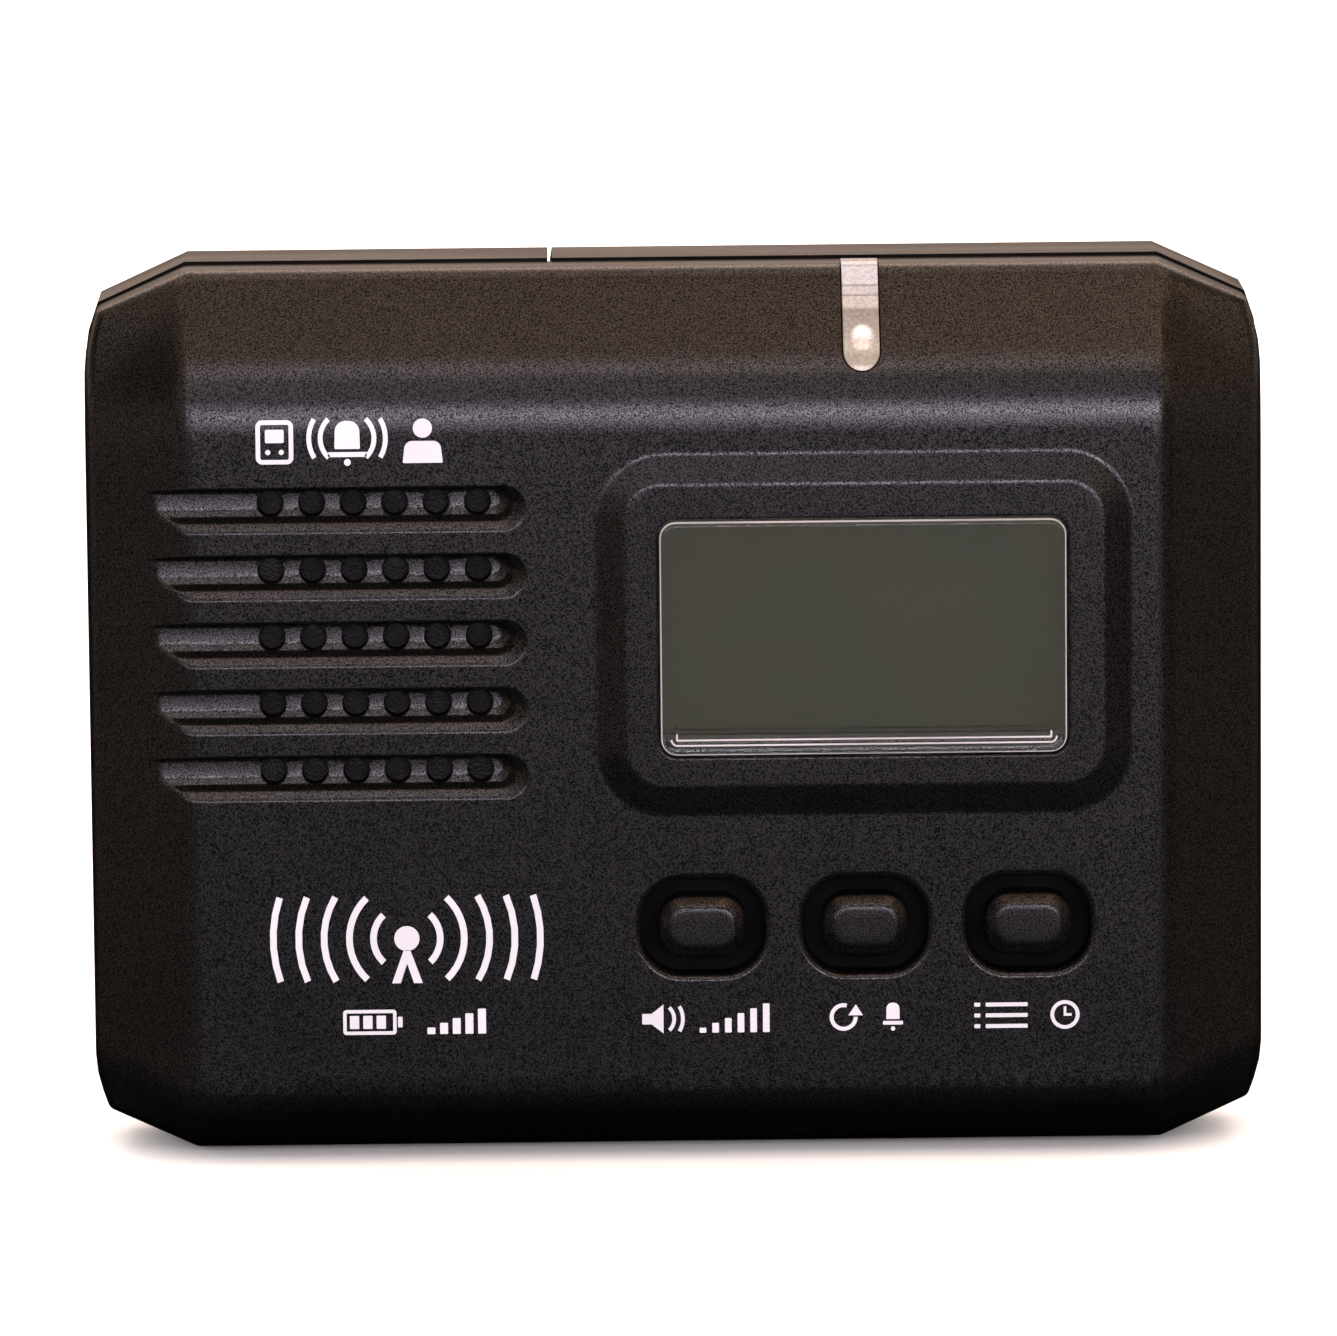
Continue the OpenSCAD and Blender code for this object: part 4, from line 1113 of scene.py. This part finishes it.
# ------------------------------ stage, lights, camera
def make_backdrop(size, height, radius):
    """The floor: a large square of pale card, carried up behind in a wide curve."""
    m, _, shader, _ = new_material("backdrop")
    settle(shader, {"Base Color": (0.9, 0.9, 0.9, 1), "Roughness": 0.9, "Specular IOR Level": 0.0})
    curve = [(-size, 0.0)]
    for k in range(17):
        a = math.pi / 2 * k / 16
        curve.append((size / 2 + radius * math.sin(a), radius * (1 - math.cos(a))))
    curve.append((size / 2 + radius, size))
    verts = [(x, y, z + height) for y, z in curve for x in (-size * 1.5, size * 1.5)]
    faces = [(2 * i, 2 * i + 1, 2 * i + 3, 2 * i + 2) for i in range(len(curve) - 1)]
    mesh = new_mesh("backdrop", verts, faces)
    mesh.materials.append(m)
    piece = put("backdrop", mesh)
    piece.visible_glossy = False


make_backdrop(1.6, -0.0002, 0.35)

AIM = Vector((-0.467, 0.0, 35.721)) * MM        # what the camera and the lights face


def direction(azimuth, elevation):
    """The way from the pager towards an azimuth (0 is straight in front) and elevation."""
    a, e = math.radians(azimuth), math.radians(elevation)
    return Vector((math.sin(a) * math.cos(e), -math.cos(a) * math.cos(e), math.sin(e)))


def softbox(name, elevations, azimuths, radiance, tint, distance=1.2):
    """A soft rectangle that fills a patch of the sky, given in degrees, with an even glow."""
    (e0, e1), (a0, a1) = elevations, azimuths
    lamp = bpy.data.lights.new(name, "AREA")
    lamp.shape = "RECTANGLE"
    lamp.size = 2 * distance * math.tan(math.radians((a1 - a0) / 2))
    lamp.size_y = 2 * distance * math.tan(math.radians((e1 - e0) / 2))
    lamp.energy = math.pi ** 2 / 4 * lamp.size * lamp.size_y * radiance
    lamp.color = tint
    away = direction((a0 + a1) / 2, (e0 + e1) / 2)
    piece = put(name, lamp)
    piece.matrix_world = (Matrix.Translation(AIM + away * distance)
                          @ away.to_track_quat("Z", "Y").to_matrix().to_4x4())
    piece.visible_camera = False


WARM = (1.0, 0.74, 0.6)
TAN = (1.0, 0.6, 0.35)
LILAC = (0.97, 0.86, 1.0)
LEFT, RIGHT, WIDE = (-25, 0), (0, 25), (-30, 30)
FAR_LEFT, FAR_RIGHT, EDGE_LEFT, EDGE_RIGHT = (-60, -25), (25, 60), (-110, -60), (60, 110)
LIGHTS = (     # elevations, azimuths, radiance, tint, distance
    # low strips glance off the bend in the front; higher, dimmer ones shade the top bevel
    ("low_left", (-1.5, 4), LEFT, 1.0, LILAC),
    ("low_right", (-1.5, 4), RIGHT, 4.4, LILAC),
    ("strip_left_low", (4, 9), LEFT, 3.0, LILAC),
    ("strip_left", (10, 16), LEFT, 12.0, LILAC),
    ("strip_right_low", (4, 8), RIGHT, 4.5, LILAC),
    ("strip_right", (8, 13), RIGHT, 22.0, LILAC),
    ("mid_left", (29, 41), LEFT, 1.7, LILAC),
    ("mid_right", (28, 35), RIGHT, 1.2, LILAC),
    ("high_left", (47, 54), LEFT, 4.6, LILAC),
    ("high_right", (47, 54), RIGHT, 3.6, WARM),
    ("top_right", (54, 66), RIGHT, 0.6, LILAC),
    ("over_front", (75, 85), WIDE, 1.05, TAN),
    ("over_head", (85, 100), WIDE, 2.2, WARM),
    ("over_top", (100, 120), WIDE, 1.3, WARM),
    ("over_back", (120, 140), WIDE, 3.8, WARM),
    ("behind", (158, 172), WIDE, 1.35, WARM),
    # the sides
    ("side_left_low", (-10, 15), FAR_LEFT, 0.38, WARM),
    ("side_left", (15, 45), FAR_LEFT, 0.8, WARM),
    ("side_left_high", (45, 75), FAR_LEFT, 0.9, TAN),
    ("edge_left_low", (-10, 15), EDGE_LEFT, 0.46, WARM),
    ("edge_left", (45, 75), EDGE_LEFT, 0.37, WARM),
    ("side_right_low", (-10, 15), FAR_RIGHT, 0.13, TAN),
    ("side_right", (15, 45), FAR_RIGHT, 1.03, WARM),
    ("side_right_high", (45, 75), FAR_RIGHT, 1.9, TAN),
    ("edge_right_low", (-10, 15), EDGE_RIGHT, 0.48, WARM),
    ("edge_right", (15, 45), EDGE_RIGHT, 0.5, TAN),
    # behind the pager, for its back
    ("rear_high", (25, 60), (140, 220), 1.6, WARM, 0.9),
    ("rear_left", (5, 40), (100, 135), 1.2, WARM),
    ("rear_right", (5, 40), (225, 260), 1.2, WARM),
)
for light in LIGHTS:
    softbox(*light)

# the room lights the scene evenly but isn't mirrored in the gloss; the soft boxes are
world = bpy.data.worlds.new("studio")
world.use_nodes = True
settle(world.node_tree.nodes["Background"], {"Color": (1, 1, 1, 1), "Strength": 1.25})
world.cycles_visibility.glossy = False
scene.world = world
scene.view_settings.view_transform = "Standard"
scene.view_settings.look = "None"

CAMERA_ELEVATION = 8.915        # degrees
CAMERA_AZIMUTH = -0.636
CAMERA_ROLL = -0.5335
CAMERA_DISTANCE = 0.8
camera_data = bpy.data.cameras.new("camera")
camera_data.sensor_width = 36.0
camera_data.lens = 285.1
camera_data.clip_start = 0.05
camera_data.clip_end = 20
away = direction(CAMERA_AZIMUTH, CAMERA_ELEVATION)
level = Vector((0, 0, 1)).cross(away).normalized()
axes = Matrix((level, away.cross(level), away)).transposed()
turn = (axes @ Matrix.Rotation(math.radians(CAMERA_ROLL), 3, "Z")).to_4x4()
camera = put("camera", camera_data)
camera.matrix_world = Matrix.Translation(AIM + away * CAMERA_DISTANCE) @ turn
scene.camera = camera
